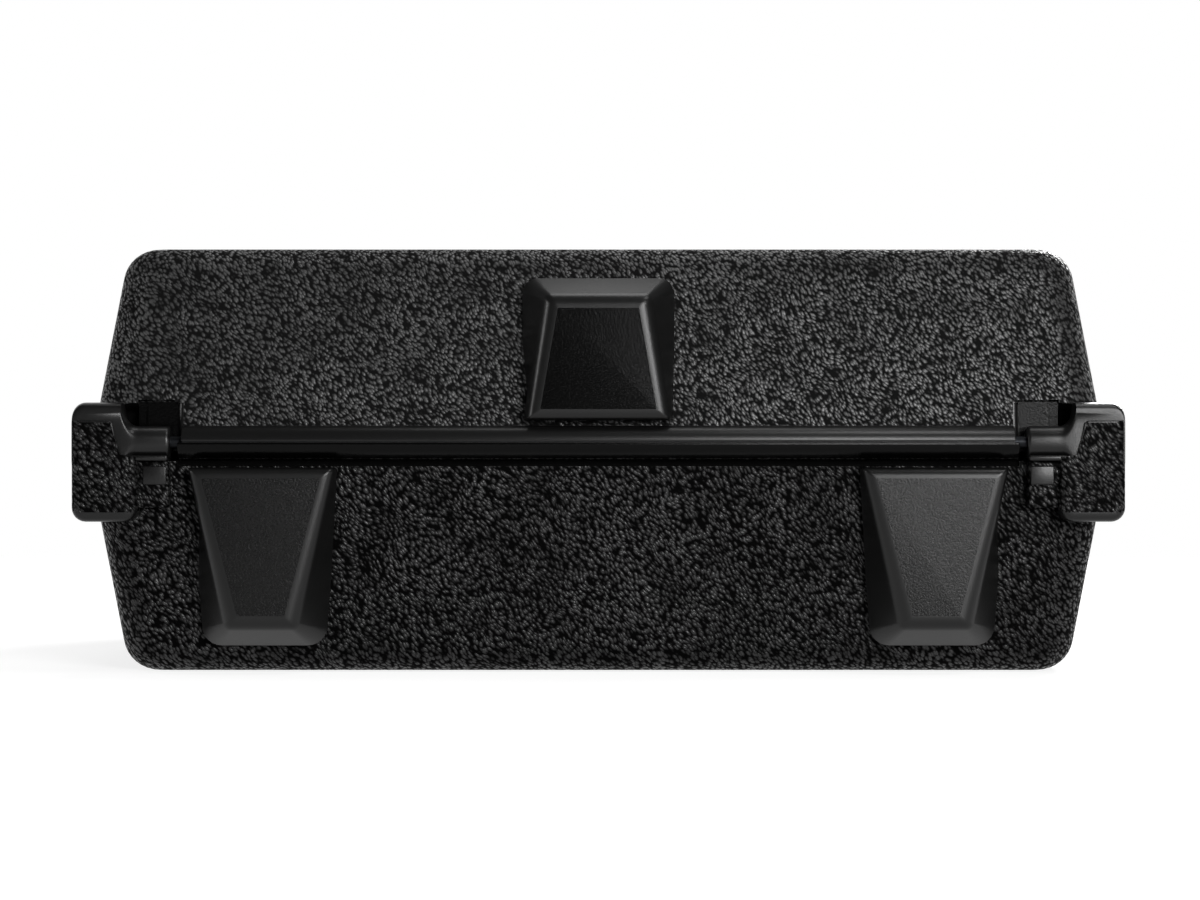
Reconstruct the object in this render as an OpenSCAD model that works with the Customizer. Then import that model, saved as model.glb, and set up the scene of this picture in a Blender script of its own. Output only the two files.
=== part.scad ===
// Microphone case: two drafted double-wall shells, hinged at the rear, latched at the front.
// The case lies flat. X is its width, -Y the hinge side, +Y the handle side, Z up from the underside.

/* [Case] */
// Width at the parting line
case_w = 260; // [240:1:300]
// Depth from the hinge wall to the front wall at the parting line
case_d = 200; // [180:1:240]
// Height of the closed case
case_h = 108; // [100:1:130]
// Draft of the outer walls in degrees
draft = 9.6; // [6:0.1:11]
// Radius of the upright corners
corner_r = 12; // [11:0.5:18]
// Radius round the top and bottom edges
edge_r = 9; // [5:0.5:10]
// Gap between the closed rims
rim_gap = 0.3; // [0.2:0.05:0.6]

/* [Walls] */
// Thickness of one blow-moulded skin
skin = 2.4; // [1.8:0.1:3]
// Thickness of the double wall at the rim, skin to skin
wall_pack = 10; // [9:0.5:13]
// Thickness of the double floor, skin to skin
floor_pack = 8; // [7:0.5:12]
// Depth of the solid rim where the two skins are pinched together
rim_depth = 5; // [4.5:0.5:7]
// Draft of the inner walls in degrees
inner_draft = 6; // [4:0.5:7]
// Radius of the inner upright corners
inner_corner_r = 8; // [7:0.5:12]
// Radius round the inner floor
inner_edge_r = 6; // [3:0.5:7]
// Thickness of the locating lip on the base rim
lip_t = 2; // [1.5:0.1:2.2]
// Height of the locating lip
lip_h = 3; // [2:0.1:3.4]
// Clearance between the lip and its groove
lip_gap = 0.4; // [0.3:0.05:0.6]
// Diameter of the blowing hole in each shell
blow_hole_d = 5; // [4:0.5:6]

/* [Hinge] */
// Distance of the hinge axis behind the rear wall at the parting line
hinge_back = 1.5; // [1:0.1:2]
// Height of the hinge axis above the parting line
hinge_rise = 4.5; // [4.4:0.1:5.5]
// Diameter of the lid's hinge barrel
barrel_d = 8.25; // [7:0.05:8.4]
// Clearance between the barrel and the hollow in the base's rim
barrel_relief = 2.2; // [1.5:0.1:2.5]
// Diameter of the base's end knuckles
knuckle_d = 8; // [7:0.1:8.4]
// Length of an end knuckle
knuckle_w = 8; // [6:0.5:12]
// Gap between the barrel and a knuckle
knuckle_gap = 2; // [1:0.1:3]
// Diameter of a hinge pin
hinge_pin_d = 3; // [2:0.1:3.4]
// Radial running clearance round every pin
pin_clear = 0.05; // [0.02:0.01:0.1]
// How far a hinge pin runs into the barrel
pin_into_barrel = 14; // [8:1:20]
// How far a hinge pin runs into the ear beyond its knuckle
pin_into_ear = 4; // [2:0.5:8]

/* [Ears] */
// Width of a corner ear
ear_w = 16.5; // [13:0.5:20]
// Height of a corner ear
ear_h = 30; // [26:0.5:34]
// Distance that an ear stands out from the side wall at the parting line
ear_proud = 2; // [1:0.5:4]
// Radius of an ear's outline corners
ear_r = 3.5; // [2:0.5:5]
// Radius of the ear's crown round the hinge axis
ear_crown_r = 10; // [9:0.25:11]
// Clearance between an ear and the lid's notch
ear_gap = 0.7; // [0.5:0.1:1.2]

/* [Feet] */
// Distance of the resting plane of the feet behind the hinge axis
foot_reach = 4.6; // [4.3:0.1:6]
// Distance of each base foot's middle from the end of the case
foot_inset = 45.5; // [40:0.5:60]
// Distance of the base feet's upper ends below the parting line
foot_drop = 1.9; // [1:0.1:4]
// Width of a base foot's face at its upper end
foot_top_w = 36.8; // [30:0.1:42]
// Width of a base foot's face at its lower end
foot_low_w = 16; // [12:0.5:24]
// Width of a base foot's root at its lower end
foot_root_w = 31; // [26:0.5:40]
// Width of the lid foot's face at its upper end
lid_foot_top_w = 24.8; // [18:0.2:30]
// Width of the lid foot's face at its lower end
lid_foot_low_w = 35.5; // [32:0.5:42]
// Width of the lid foot's root
lid_foot_root_w = 38.5; // [34:0.5:46]
// Height of the slope at a foot's far end
foot_slope_h = 5.25; // [4:0.25:7]
// Height of the lid foot's lower end above the parting line
lid_foot_rise = 10; // [9:0.5:14]
// Radius of the corners of a foot
foot_r = 1.5; // [1:0.25:3]

/* [Latches] */
// Distance of each latch's middle from the end of the case
latch_inset = 45; // [38:0.5:50]
// Width of a latch lever
latch_w = 24; // [20:0.5:28]
// Length of a lever below its pivot
lever_len = 25; // [22:0.5:30]
// Diameter of a lever's pivot barrel
lever_barrel_d = 7.2; // [6.8:0.1:8]
// Distance of the lever pivot outside the front wall
latch_stand = 7; // [6.5:0.25:9]
// Distance of the lever pivot below the parting line
latch_drop = 20; // [17:0.5:22]
// Diameter of a lever pin
latch_pin_d = 3; // [2:0.1:3.2]
// Width of the base lug between a lever's cheeks
latch_lug_w = 14; // [10:0.5:15]
// Distance from the lever pivot to the bail pivot
crank_r = 6; // [5.8:0.1:6.5]
// Lean of the crank past dead centre, in degrees
crank_lean = 8; // [4:1:12]
// Diameter of the bail wire
wire_d = 2.5; // [2:0.1:2.6]
// Height of the bail's bar above the parting line
bar_rise = 8; // [7:0.5:10]
// Distance of the bail's bar outside the front wall
bar_stand = 5; // [4.75:0.25:6]
// Width of the lid's catch
catch_w = 20; // [14:0.5:22]
// Thickness of the catch's lip
catch_t = 1.6; // [1.2:0.1:2]
// Height of the catch's lip above its groove
catch_lip = 1.8; // [1.2:0.1:2]
// Room in the groove for the bail's bar as the latch opens
catch_room = 1.5; // [1.4:0.1:2]
// Gap between the bail's bar and the groove's floor, which the bar dips into past dead centre
bar_seat_gap = 0.2; // [0.15:0.05:0.3]
// Sideways clearance of lever, bail and lug
latch_gap = 0.35; // [0.3:0.05:0.5]
// Clearance between a latch lug and the slot that it stands in
lug_clear = 0.6; // [0.4:0.1:0.8]
// Distance that the latch seats stand out from the front wall
seat_proud = 2; // [1:0.25:2.5]
// Width of a latch seat
seat_w = 38; // [34:0.5:42]
// Radius of the corners of a latch seat
seat_r = 3; // [2:0.5:5]

/* [Handle] */
// Distance of each handle lug's middle from the end of the case
handle_inset = 72; // [70:0.5:78]
// Thickness of a handle lug
handle_lug_t = 6; // [5:0.5:7]
// Distance of the handle pivot below the parting line
handle_drop = 8; // [7:0.5:12]
// Distance of the handle pivot outside the front wall
handle_stand = 7; // [7:0.25:9]
// Length of the handle's arms, pivot to grip
handle_len = 33; // [30:0.5:34]
// Thickness of a handle arm
arm_t = 5; // [4:0.5:6]
// Diameter of an arm's pivot eye
arm_eye_d = 10; // [9:0.5:12]
// Width of an arm
arm_w = 8; // [6:0.5:9]
// Diameter of the bar inside the grip
handle_bar_d = 8; // [6:0.5:9]
// Diameter of the soft grip
grip_d = 15; // [13:0.5:16]
// Distance from each arm to the grip's end
grip_inset = 3; // [1:0.5:8]
// Diameter of a handle pin
handle_pin_d = 4; // [3:0.1:4.5]
// Diameter of a handle pin's head
handle_head_d = 7; // [6:0.5:8]
// Thickness of a handle pin's head
handle_head_t = 1.5; // [1:0.1:2]
// Sideways clearance of the handle
handle_gap = 0.35; // [0.3:0.05:0.5]

/* [Foam] */
// Clearance between foam and wall
foam_gap = 0.5; // [0.4:0.05:0.8]
// Thickness of the flat pad under the insert
foam_pad_t = 8; // [5:0.5:10]
// Distance of the insert's top below the parting line
foam_drop = 5; // [3:0.5:8]
// Distance of the lid foam's peaks above the parting line
lid_foam_rise = 9; // [8:0.5:14]
// Length of the microphone pocket
mic_len = 184; // [150:1:200]
// Width of the microphone pocket along the handle of the microphone
mic_w = 38; // [30:1:50]
// Diameter of the pocket's head end
mic_head_d = 58; // [50:1:64]
// Length of the accessory pocket
tray_len = 92; // [70:1:100]
// Length of the clip pocket
clip_len = 76; // [50:1:80]
// Width of the clip pocket
clip_w = 54; // [40:1:60]
// Radius of the corners of the foam pockets
pocket_r = 8; // [4:1:12]
// Width of the foam web between pockets
foam_web = 16; // [10:1:20]
// Width of the foam web between the accessory pocket and the insert's side
foam_side_web = 8; // [6:0.5:14]

/* [Hidden] */
$fn = 48;
hull_fn = 32;
edge_steps = 5;
left = -1;
right = 1;
far = 400;
sliver = 0.01;

hw = case_w / 2;
hd = case_d / 2;
depth = case_h / 2;
part_z = case_h / 2;
rim = rim_gap / 2;
slope = tan(draft);
inner_slope = tan(inner_draft);
cav_x = hw - wall_pack;
cav_y = hd - wall_pack;
cav_depth = depth - floor_pack;

axis_y = -hd - hinge_back;
axis_z = part_z + hinge_rise;
rest_y = axis_y - foot_reach;
ear_x = hw + ear_proud - ear_w;
knuckle_x = ear_x - knuckle_w;
barrel_half = knuckle_x - knuckle_gap;
notch_x = barrel_half + knuckle_gap / 4;
notch_r = ear_crown_r + ear_gap;
relief_r = barrel_d / 2 + barrel_relief;
ear_low_z = axis_z + ear_crown_r - ear_h;

foot_x = hw - foot_inset;
foot_high_z = part_z - foot_drop;
foot_low_z = edge_r - 2;
foot_face_low_z = foot_low_z + foot_slope_h;
lid_foot_low_z = part_z + lid_foot_rise;
lid_foot_high_z = case_h - edge_r + 1;
lid_foot_face_z = lid_foot_high_z - foot_slope_h;

latch_x = hw - latch_inset;
seat_y = hd + seat_proud;
lever_y = hd + latch_stand;
lever_z = part_z - latch_drop;
crank_y = lever_y - crank_r * sin(crank_lean);
crank_z = lever_z - crank_r * cos(crank_lean);
bar_y = hd + bar_stand;
bar_z = part_z + bar_rise;
wire_r = wire_d / 2;
bail_boss_r = wire_r + 1.75;
leg_x = latch_w / 2 + latch_gap + wire_r;
bail_reach = norm([bar_y - crank_y, bar_z - crank_z]);
bail_lean = atan2(crank_y - bar_y, bar_z - crank_z);
groove_z = bar_z - wire_r - bar_seat_gap;
lever_lug_r = lever_barrel_d / 2;

handle_x = hw - handle_inset;
handle_y = hd + handle_stand;
handle_z = part_z - handle_drop;
lug_in_x = handle_x - handle_lug_t / 2;
lug_out_x = handle_x + handle_lug_t / 2;
arm_x = lug_in_x - handle_gap - arm_t;
grip_z = handle_z - handle_len;
grip_half = arm_x - grip_inset;

insert_low_z = floor_pack + foam_pad_t + 2 * foam_gap;
insert_top_z = part_z - foam_drop;
insert_y = cav_y - inner_slope * (part_z - insert_low_z);
mic_y = -insert_y + foam_web + mic_head_d / 2;
row_y = mic_y + mic_head_d / 2 + foam_web;
tray_w = insert_y - foam_side_web - row_y;

plastic = [0.09, 0.09, 0.095];
glossy = [0.13, 0.13, 0.135];
steel = [0.62, 0.63, 0.65];
foam = [0.16, 0.16, 0.17];
grip_rubber = [0.12, 0.12, 0.12];

// A drafted block with rounded corners and a rounded far edge. hx and hy are its half sizes at height 0.
module drafted_block(hx, hy, z0, z1, wall_draft, rc, re) {
    s = tan(wall_draft);
    z_arc = z1 - re * (1 - sin(wall_draft));
    grow = re * (1 - cos(wall_draft)) - rc;
    hull($fn = hull_fn) for (x = [-1, 1], y = [-1, 1]) {
        translate([x * (hx - s * z0 - rc), y * (hy - s * z0 - rc), z0])
            cylinder(r = rc, h = sliver);
        for (k = [0 : edge_steps]) {
            a = wall_draft + (90 - wall_draft) * k / edge_steps;
            translate([
                x * (hx - s * z_arc + grow), y * (hy - s * z_arc + grow),
                z1 - re * (1 - sin(a)) - sliver
            ])
                cylinder(r = rc - re * (1 - cos(a)), h = sliver);
        }
    }
}

module half_outer() {
    drafted_block(hw, hd, rim, depth, draft, corner_r, edge_r);
}

// The air between the outer and the inner skin.
module half_void() {
    difference() {
        drafted_block(
            hw - skin, hd - skin, rim + rim_depth, depth - skin, draft, corner_r - skin, edge_r - skin
        );
        drafted_block(
            cav_x + skin, cav_y + skin, 0, cav_depth + skin, inner_draft,
            inner_corner_r + skin, inner_edge_r + skin
        );
    }
}

module half_cavity() {
    drafted_block(cav_x, cav_y, -1, cav_depth, inner_draft, inner_corner_r, inner_edge_r);
}

// Places a half shell, drawn upwards from the parting plane, as the lid or turned over as the base.
module as_lid() {
    translate([0, 0, part_z]) children();
}

module as_base() {
    translate([0, 0, part_z]) mirror([0, 0, 1]) children();
}

module rounded_outline(w, h, r) {
    square([w - 2 * r, h], center = true);
    square([w, h - 2 * r], center = true);
    for (x = [-1, 1], y = [-1, 1])
        translate([x * (w / 2 - r), y * (h / 2 - r)]) circle(r = r);
}

// A bar along X from x0 to x1 whose section is drawn with Y and Z as its two directions.
module bar_along_x(x0, x1) {
    translate([x0, 0, 0]) rotate([90, 0, 90]) linear_extrude(height = x1 - x0) children();
}

module rod(x0, x1, y, z, r) {
    translate([x0, y, z]) rotate([0, 90, 0]) cylinder(r = r, h = x1 - x0);
}

module on_side(side) {
    if (side == left) mirror([1, 0, 0]) children();
    else children();
}

module both_sides() {
    children();
    mirror([1, 0, 0]) children();
}

// Shells

module foot(x, low, high) {
    // low and high are [height, face half width, root half width, face height].
    hull($fn = hull_fn) {
        for (end = [low, high], side = [-1, 1]) {
            translate([x + side * (end[1] - foot_r), rest_y, end[3]])
                rotate([-90, 0, 0]) cylinder(r = foot_r, h = sliver);
            translate([x + side * (end[2] - foot_r), -hd + wall_pack / 2, end[0]])
                rotate([-90, 0, 0]) cylinder(r = foot_r, h = sliver);
        }
    }
}

module base_feet() {
    for (side = [left, right])
        foot(
            side * foot_x,
            [foot_low_z + foot_r, foot_low_w / 2, foot_root_w / 2, foot_face_low_z],
            [foot_high_z - foot_r, foot_top_w / 2, foot_top_w / 2 + 0.3, foot_high_z - foot_r]
        );
}

module lid_foot() {
    foot(
        0,
        [lid_foot_low_z, lid_foot_low_w / 2, lid_foot_low_w / 2 + 1.5, lid_foot_low_z],
        [lid_foot_high_z, lid_foot_top_w / 2, lid_foot_root_w / 2, lid_foot_face_z]
    );
}

module ear_section() {
    intersection() {
        translate([rest_y, ear_low_z]) square([axis_y + ear_crown_r - rest_y, ear_h]);
        union() {
            translate([axis_y, axis_z]) circle(r = ear_crown_r);
            translate([rest_y, ear_low_z]) square([far, part_z - rim - ear_low_z]);
            translate([rest_y, ear_low_z]) square([axis_y - rest_y, axis_z - ear_low_z]);
        }
    }
}

module ear() {
    intersection() {
        bar_along_x(ear_x, ear_x + ear_w) ear_section();
        translate([ear_x + ear_w / 2, 0, ear_low_z + ear_h / 2])
            rotate([90, 0, 0]) linear_extrude(height = far) rounded_outline(ear_w, ear_h, ear_r);
    }
}

// The knuckle stands on a web that follows the ear's section, a little in front of the resting plane.
module knuckle() {
    rod(knuckle_x, ear_x + ear_r, axis_y, axis_z, knuckle_d / 2);
    bar_along_x(knuckle_x, ear_x + ear_r) intersection() {
        ear_section();
        translate([axis_y - knuckle_d / 4, ear_low_z + ear_r]) square([far, axis_z - ear_low_z - ear_r]);
    }
}

module hinge_bores(extra) {
    both_sides()
        rod(
            barrel_half - pin_into_barrel - extra, ear_x + pin_into_ear + extra,
            axis_y, axis_z, hinge_pin_d / 2 + pin_clear
        );
}

module latch_lug() {
    bar_along_x(latch_x - latch_lug_w / 2, latch_x + latch_lug_w / 2) {
        translate([lever_y, lever_z]) circle(r = lever_lug_r);
        translate([hd - wall_pack / 2, lever_z - lever_lug_r])
            square([lever_y - hd + wall_pack / 2, 2 * lever_lug_r]);
    }
}

module handle_lug() {
    bar_along_x(lug_in_x, lug_out_x) {
        translate([handle_y, handle_z]) circle(d = arm_eye_d);
        translate([hd - wall_pack / 2, handle_z - arm_eye_d / 2])
            square([handle_y - hd + wall_pack / 2, arm_eye_d]);
    }
}

// A raised seat on the front wall, from the rim away from the parting plane.
module latch_seat(length) {
    for (x = [-latch_x, latch_x])
        translate([x, seat_y, rim + length / 2])
            rotate([90, 0, 0])
                linear_extrude(height = seat_proud + wall_pack / 2) rounded_outline(seat_w, length, seat_r);
}

// The catch is a nose under the bail's bar, with a lip outside it and a step inside it.
module latch_catch() {
    lip_y = bar_y + wire_r + catch_room;
    step_y = bar_y - wire_r - bar_seat_gap;
    translate([latch_x, 0, 0]) bar_along_x(-catch_w / 2, catch_w / 2) polygon([
        [hd - wall_pack / 2, part_z + 1.4 * catch_t],
        [seat_y + 0.6 * catch_t, part_z + 1.4 * catch_t],
        [lip_y + catch_t, groove_z - 1.6 * catch_t],
        [lip_y + catch_t, groove_z + catch_lip - bar_seat_gap],
        [lip_y + catch_t - bar_seat_gap, groove_z + catch_lip],
        [lip_y + bar_seat_gap, groove_z + catch_lip],
        [lip_y, groove_z],
        [step_y, groove_z],
        [step_y, groove_z + wire_d + bar_seat_gap],
        [hd - wall_pack / 2, groove_z + wire_d + catch_t]
    ]);
}

module lip_outline(grow) {
    rounded_outline(2 * (cav_x + grow), 2 * (cav_y + grow), inner_corner_r + grow);
}

// The lip stops short of the hinge, where the lid's rim swings inwards as it rises.
module rim_lip() {
    lip_back = cav_y - 2 * inner_corner_r;
    difference() {
        translate([0, 0, part_z - rim_depth / 2])
            linear_extrude(height = rim_depth / 2 + lip_h) lip_outline(lip_t);
        translate([0, 0, part_z - rim_depth]) linear_extrude(height = far) lip_outline(0);
        translate([-far / 2, -far - lip_back, 0]) cube([far, far, far]);
    }
}

module blow_hole(z) {
    translate([0, hd + 1, z]) rotate([90, 0, 0]) cylinder(d = blow_hole_d, h = wall_pack / 2 + 4);
}

module base_shell() {
    color(plastic) difference() {
        union() {
            difference() {
                union() {
                    as_base() half_outer();
                    base_feet();
                    as_base() latch_seat(depth - edge_r);
                }
                as_base() half_void();
                blow_hole(part_z / 2);
            }
            both_sides() {
                ear();
                knuckle();
                latch_lug();
                handle_lug();
            }
            rim_lip();
        }
        as_base() half_cavity();
        rod(-notch_x, notch_x, axis_y, axis_z, relief_r);
        hinge_bores(0.3);
        both_sides() {
            rod(latch_x - latch_w, latch_x + latch_w, lever_y, lever_z, latch_pin_d / 2 + pin_clear);
            rod(arm_x, lug_out_x + 1, handle_y, handle_z, handle_pin_d / 2 + pin_clear);
        }
    }
}

// The lid stands clear of the base ears in a notch swept round the hinge axis.
module notch_section(r) {
    translate([axis_y, axis_z]) circle(r = r);
    translate([axis_y - far, part_z - far]) square([far + r, axis_z - part_z + far]);
    translate([axis_y - far, part_z]) square([far, hinge_rise + r]);
}

module lid_shell() {
    color(plastic) difference() {
        union() {
            difference() {
                union() {
                    as_lid() half_outer();
                    lid_foot();
                    as_lid() latch_seat(2 * bar_rise);
                }
                as_lid() half_void();
                as_lid() half_cavity();
                blow_hole(part_z + depth / 2);
            }
            intersection() {
                as_lid() half_outer();
                both_sides() bar_along_x(notch_x - skin, far) notch_section(notch_r + skin);
            }
            rod(-barrel_half, barrel_half, axis_y, axis_z, barrel_d / 2);
            both_sides() latch_catch();
        }
        both_sides() bar_along_x(notch_x, far) notch_section(notch_r);
        translate([0, 0, part_z - 1])
            linear_extrude(height = 1 + lip_h + lip_gap) lip_outline(lip_t + lip_gap);
        hinge_bores(0.3);
    }
}

// Hinge pins

module hinge_pin(side) {
    color(steel) on_side(side)
        rod(barrel_half - pin_into_barrel, ear_x + pin_into_ear, axis_y, axis_z, hinge_pin_d / 2);
}

// Foam

// A layer of foam cut to the base's hollow from height z0 to z1.
module foam_slab(z0, z1) {
    intersection() {
        as_base()
            drafted_block(
                cav_x - foam_gap, cav_y - foam_gap, 0, cav_depth - foam_gap, inner_draft,
                inner_corner_r - foam_gap, inner_edge_r - foam_gap
            );
        translate([-far / 2, -far / 2, z0]) cube([far, far, z1 - z0]);
    }
}

module base_foam_pad() {
    color(foam) foam_slab(floor_pack + foam_gap, floor_pack + foam_gap + foam_pad_t);
}

module pocket(x, y, w, d) {
    translate([x, y, insert_low_z - 1])
        linear_extrude(height = far) rounded_outline(w, d, pocket_r);
}

module base_foam_insert() {
    color(foam) difference() {
        foam_slab(insert_low_z, insert_top_z);
        pocket(0, mic_y, mic_len, mic_w);
        translate([mic_len / 2 - mic_head_d / 2, mic_y, insert_low_z - 1])
            cylinder(d = mic_head_d, h = far);
        pocket(-(foam_web + tray_len) / 2, row_y + tray_w / 2, tray_len, tray_w);
        pocket((foam_web + clip_len) / 2, row_y + tray_w / 2, clip_len, clip_w);
    }
}

module lid_foam() {
    color(foam) as_lid()
        drafted_block(
            cav_x - foam_gap, cav_y - foam_gap, lid_foam_rise, cav_depth - foam_gap, inner_draft,
            inner_corner_r - foam_gap, inner_edge_r
        );
}

// Latches

module lever_section() {
    translate([lever_y, lever_z]) circle(r = lever_lug_r);
    translate([crank_y, crank_z]) circle(r = bail_boss_r);
    r = lever_lug_r;
    translate([lever_y, lever_z]) polygon([
        [-r, 0],
        [-r, -0.32 * lever_len],
        [-0.94 * r, -0.72 * lever_len],
        [-0.61 * r, -0.88 * lever_len],
        [0.5 * r, -lever_len],
        [1.17 * r, -0.98 * lever_len],
        [0.5 * r, -0.85 * lever_len],
        [0.25 * r, -0.68 * lever_len],
        [0.61 * r, -0.32 * lever_len],
        [r, -0.28 * r]
    ]);
}

module latch_lever(side) {
    slot_w = latch_lug_w + 2 * latch_gap;
    slot_r = lever_lug_r + lug_clear;
    color(glossy) on_side(side) difference() {
        bar_along_x(latch_x - latch_w / 2, latch_x + latch_w / 2) lever_section();
        rod(latch_x - slot_w / 2, latch_x + slot_w / 2, lever_y, lever_z, slot_r);
        translate([latch_x - slot_w / 2, lever_y - 2 * slot_r, lever_z - slot_r])
            cube([slot_w, 2 * slot_r, 2 * slot_r]);
        rod(latch_x - latch_w, latch_x + latch_w, lever_y, lever_z, latch_pin_d / 2 + pin_clear);
        rod(latch_x - latch_w, latch_x + latch_w, crank_y, crank_z, wire_r + pin_clear);
    }
}

// The bail is one bent wire: two legs, the bar over the catch and the inturned ends in the lever.
module latch_bail(side) {
    tail = latch_w / 2 - latch_lug_w / 2 - 1;
    color(steel) on_side(side) translate([latch_x, crank_y, crank_z]) rotate([bail_lean, 0, 0]) {
        for (x = [-1, 1]) {
            translate([x * leg_x, 0, 0]) cylinder(r = wire_r, h = bail_reach);
            translate([x * leg_x, 0, 0]) sphere(r = wire_r);
            translate([x * leg_x, 0, bail_reach]) sphere(r = wire_r);
            translate([x * leg_x, 0, 0]) rotate([0, -90 * x, 0])
                cylinder(r = wire_r, h = wire_r + latch_gap + tail);
        }
        translate([-leg_x, 0, bail_reach]) rotate([0, 90, 0]) cylinder(r = wire_r, h = 2 * leg_x);
    }
}

module latch_pin(side) {
    color(steel) on_side(side)
        rod(latch_x - latch_w / 2, latch_x + latch_w / 2, lever_y, lever_z, latch_pin_d / 2);
}

// Handle

module handle_frame() {
    color(glossy) difference() {
        union() {
            both_sides() bar_along_x(arm_x, arm_x + arm_t) {
                translate([handle_y, handle_z]) circle(d = arm_eye_d);
                translate([handle_y, grip_z]) circle(d = arm_w + 2);
                translate([handle_y - arm_w / 2, grip_z]) square([arm_w, handle_len]);
            }
            rod(-arm_x - 1, arm_x + 1, handle_y, grip_z, handle_bar_d / 2);
        }
        both_sides() rod(arm_x - 1, lug_in_x, handle_y, handle_z, handle_pin_d / 2 + pin_clear);
    }
}

module handle_grip() {
    r = grip_d / 2;
    color(grip_rubber) translate([0, handle_y, grip_z]) rotate([0, 90, 0]) rotate_extrude()
        difference() {
            union() {
                translate([0, -grip_half]) square([r - 2, 2 * grip_half]);
                translate([0, -grip_half + 2]) square([r, 2 * grip_half - 4]);
                for (x = [-1, 1]) translate([r - 2, x * (grip_half - 2)]) circle(r = 2);
            }
            translate([-far, -far]) square([far + handle_bar_d / 2 + pin_clear, 2 * far]);
        }
}

module handle_pin(side) {
    color(steel) on_side(side) {
        rod(arm_x, lug_out_x + handle_gap, handle_y, handle_z, handle_pin_d / 2);
        rod(
            lug_out_x + handle_gap, lug_out_x + handle_gap + handle_head_t,
            handle_y, handle_z, handle_head_d / 2
        );
    }
}

base_shell();
lid_shell();
hinge_pin(left);  // hinge_pin_left
hinge_pin(right);  // hinge_pin_right
base_foam_pad();
base_foam_insert();
lid_foam();
latch_lever(left);  // latch_lever_left
latch_lever(right);  // latch_lever_right
latch_bail(left);  // latch_bail_left
latch_bail(right);  // latch_bail_right
latch_pin(left);  // latch_pin_left
latch_pin(right);  // latch_pin_right
handle_frame();
handle_grip();
handle_pin(left);  // handle_pin_left
handle_pin(right);  // handle_pin_right
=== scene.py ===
"""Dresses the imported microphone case: moulded shells, foam, draw latches, handle, studio and camera."""

import logging
import math
from collections.abc import Callable, Sequence
from dataclasses import dataclass, field
from enum import Enum, IntEnum

import bmesh
import bpy
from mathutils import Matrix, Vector


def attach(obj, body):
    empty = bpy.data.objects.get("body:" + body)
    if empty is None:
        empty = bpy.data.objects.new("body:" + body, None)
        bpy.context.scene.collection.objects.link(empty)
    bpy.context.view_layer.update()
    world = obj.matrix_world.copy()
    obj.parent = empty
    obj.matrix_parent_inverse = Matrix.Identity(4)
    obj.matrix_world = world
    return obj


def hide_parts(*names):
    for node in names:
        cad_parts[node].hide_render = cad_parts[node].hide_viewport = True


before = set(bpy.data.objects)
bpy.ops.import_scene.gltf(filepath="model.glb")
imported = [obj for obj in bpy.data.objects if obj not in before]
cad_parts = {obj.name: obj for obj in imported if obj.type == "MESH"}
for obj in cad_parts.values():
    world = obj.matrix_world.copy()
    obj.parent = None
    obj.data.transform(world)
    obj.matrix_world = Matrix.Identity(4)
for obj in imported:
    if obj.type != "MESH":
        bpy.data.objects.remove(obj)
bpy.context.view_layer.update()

LOG = logging.getLogger("microphone_case")
# Metres in a millimetre. Meshes are drawn in millimetres.
MM = 0.001
# An edge that turns more than this is rounded by soften, and else drawn sharp.
SHARP_ANGLE = math.radians(32)
# How near a face's centre lies to the surface that it belongs to
NEAR = 0.1
# Least share of a flat face's normal along the axis that it looks along
SQUARE = 0.99
# Step between two parts whose faces would else lie in one plane
SLIP = 0.05

Pair = tuple[float, float]
Triple = tuple[float, float, float]
# A point of an outline, and a corner of one with its radius
Point = Pair
Corner = Triple
Mesh = bmesh.types.BMesh
Material = bpy.types.Material
Piece = bpy.types.Object
Tree = bpy.types.NodeTree


class Side(Enum):
    """A side of the case, seen with the hinge towards the viewer."""

    LEFT = -1
    RIGHT = 1


class Finish(IntEnum):
    """A finish's place in a moulding's list of materials."""

    GRAIN = 0
    BARE = 1
    FACE = 2


class Cut(Enum):
    """What stays of a solid when another one cuts it."""

    OUTSIDE = "DIFFERENCE"
    COMMON = "INTERSECT"


# Small tools for meshes


def arc(cx: float, cy: float, r: float, start: float, end: float, steps: int) -> list[Point]:
    """Returns points along an arc.

    Args:
        cx: First coordinate of the centre.
        cy: Second coordinate of the centre.
        r: Radius.
        start: Angle of the first point in degrees.
        end: Angle of the last point in degrees.
        steps: Number of steps between the two.

    Returns:
        The points, in order.
    """
    angles = [math.radians(start + (end - start) * k / steps) for k in range(steps + 1)]
    return [(cx + r * math.cos(a), cy + r * math.sin(a)) for a in angles]


def circle(cx: float, cy: float, r: float, count: int) -> list[Point]:
    """Returns a whole circle of points, from angle 0 on."""
    return arc(cx, cy, r, 0, 360 * (count - 1) / count, count - 1)


def rounded_rectangle(hx: float, hy: float, r: float, steps: int = 8) -> list[Point]:
    """Returns the outline of a rectangle with round corners.

    Args:
        hx: Half its width.
        hy: Half its height.
        r: Radius of its corners.
        steps: Steps in each corner.

    Returns:
        The points, anticlockwise from the right side's upper corner.
    """
    corners = [(hx - r, hy - r, 0), (r - hx, hy - r, 90), (r - hx, r - hy, 180), (hx - r, r - hy, 270)]
    return [p for x, y, a in corners for p in arc(x, y, r, a, a + 90, steps)]


def sides_at(corners: Sequence[Corner], k: int) -> tuple[Vector, Vector, Vector]:
    """Finds how the sides of a closed outline leave one of its corners.

    Args:
        corners: Each corner's two coordinates and its radius.
        k: The corner's number.

    Returns:
        The corner, the direction back along one side and that ahead along the other.
    """
    here = Vector(corners[k][:2])
    back = (Vector(corners[k - 1][:2]) - here).normalized()
    ahead = (Vector(corners[(k + 1) % len(corners)][:2]) - here).normalized()
    return here, back, ahead


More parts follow.
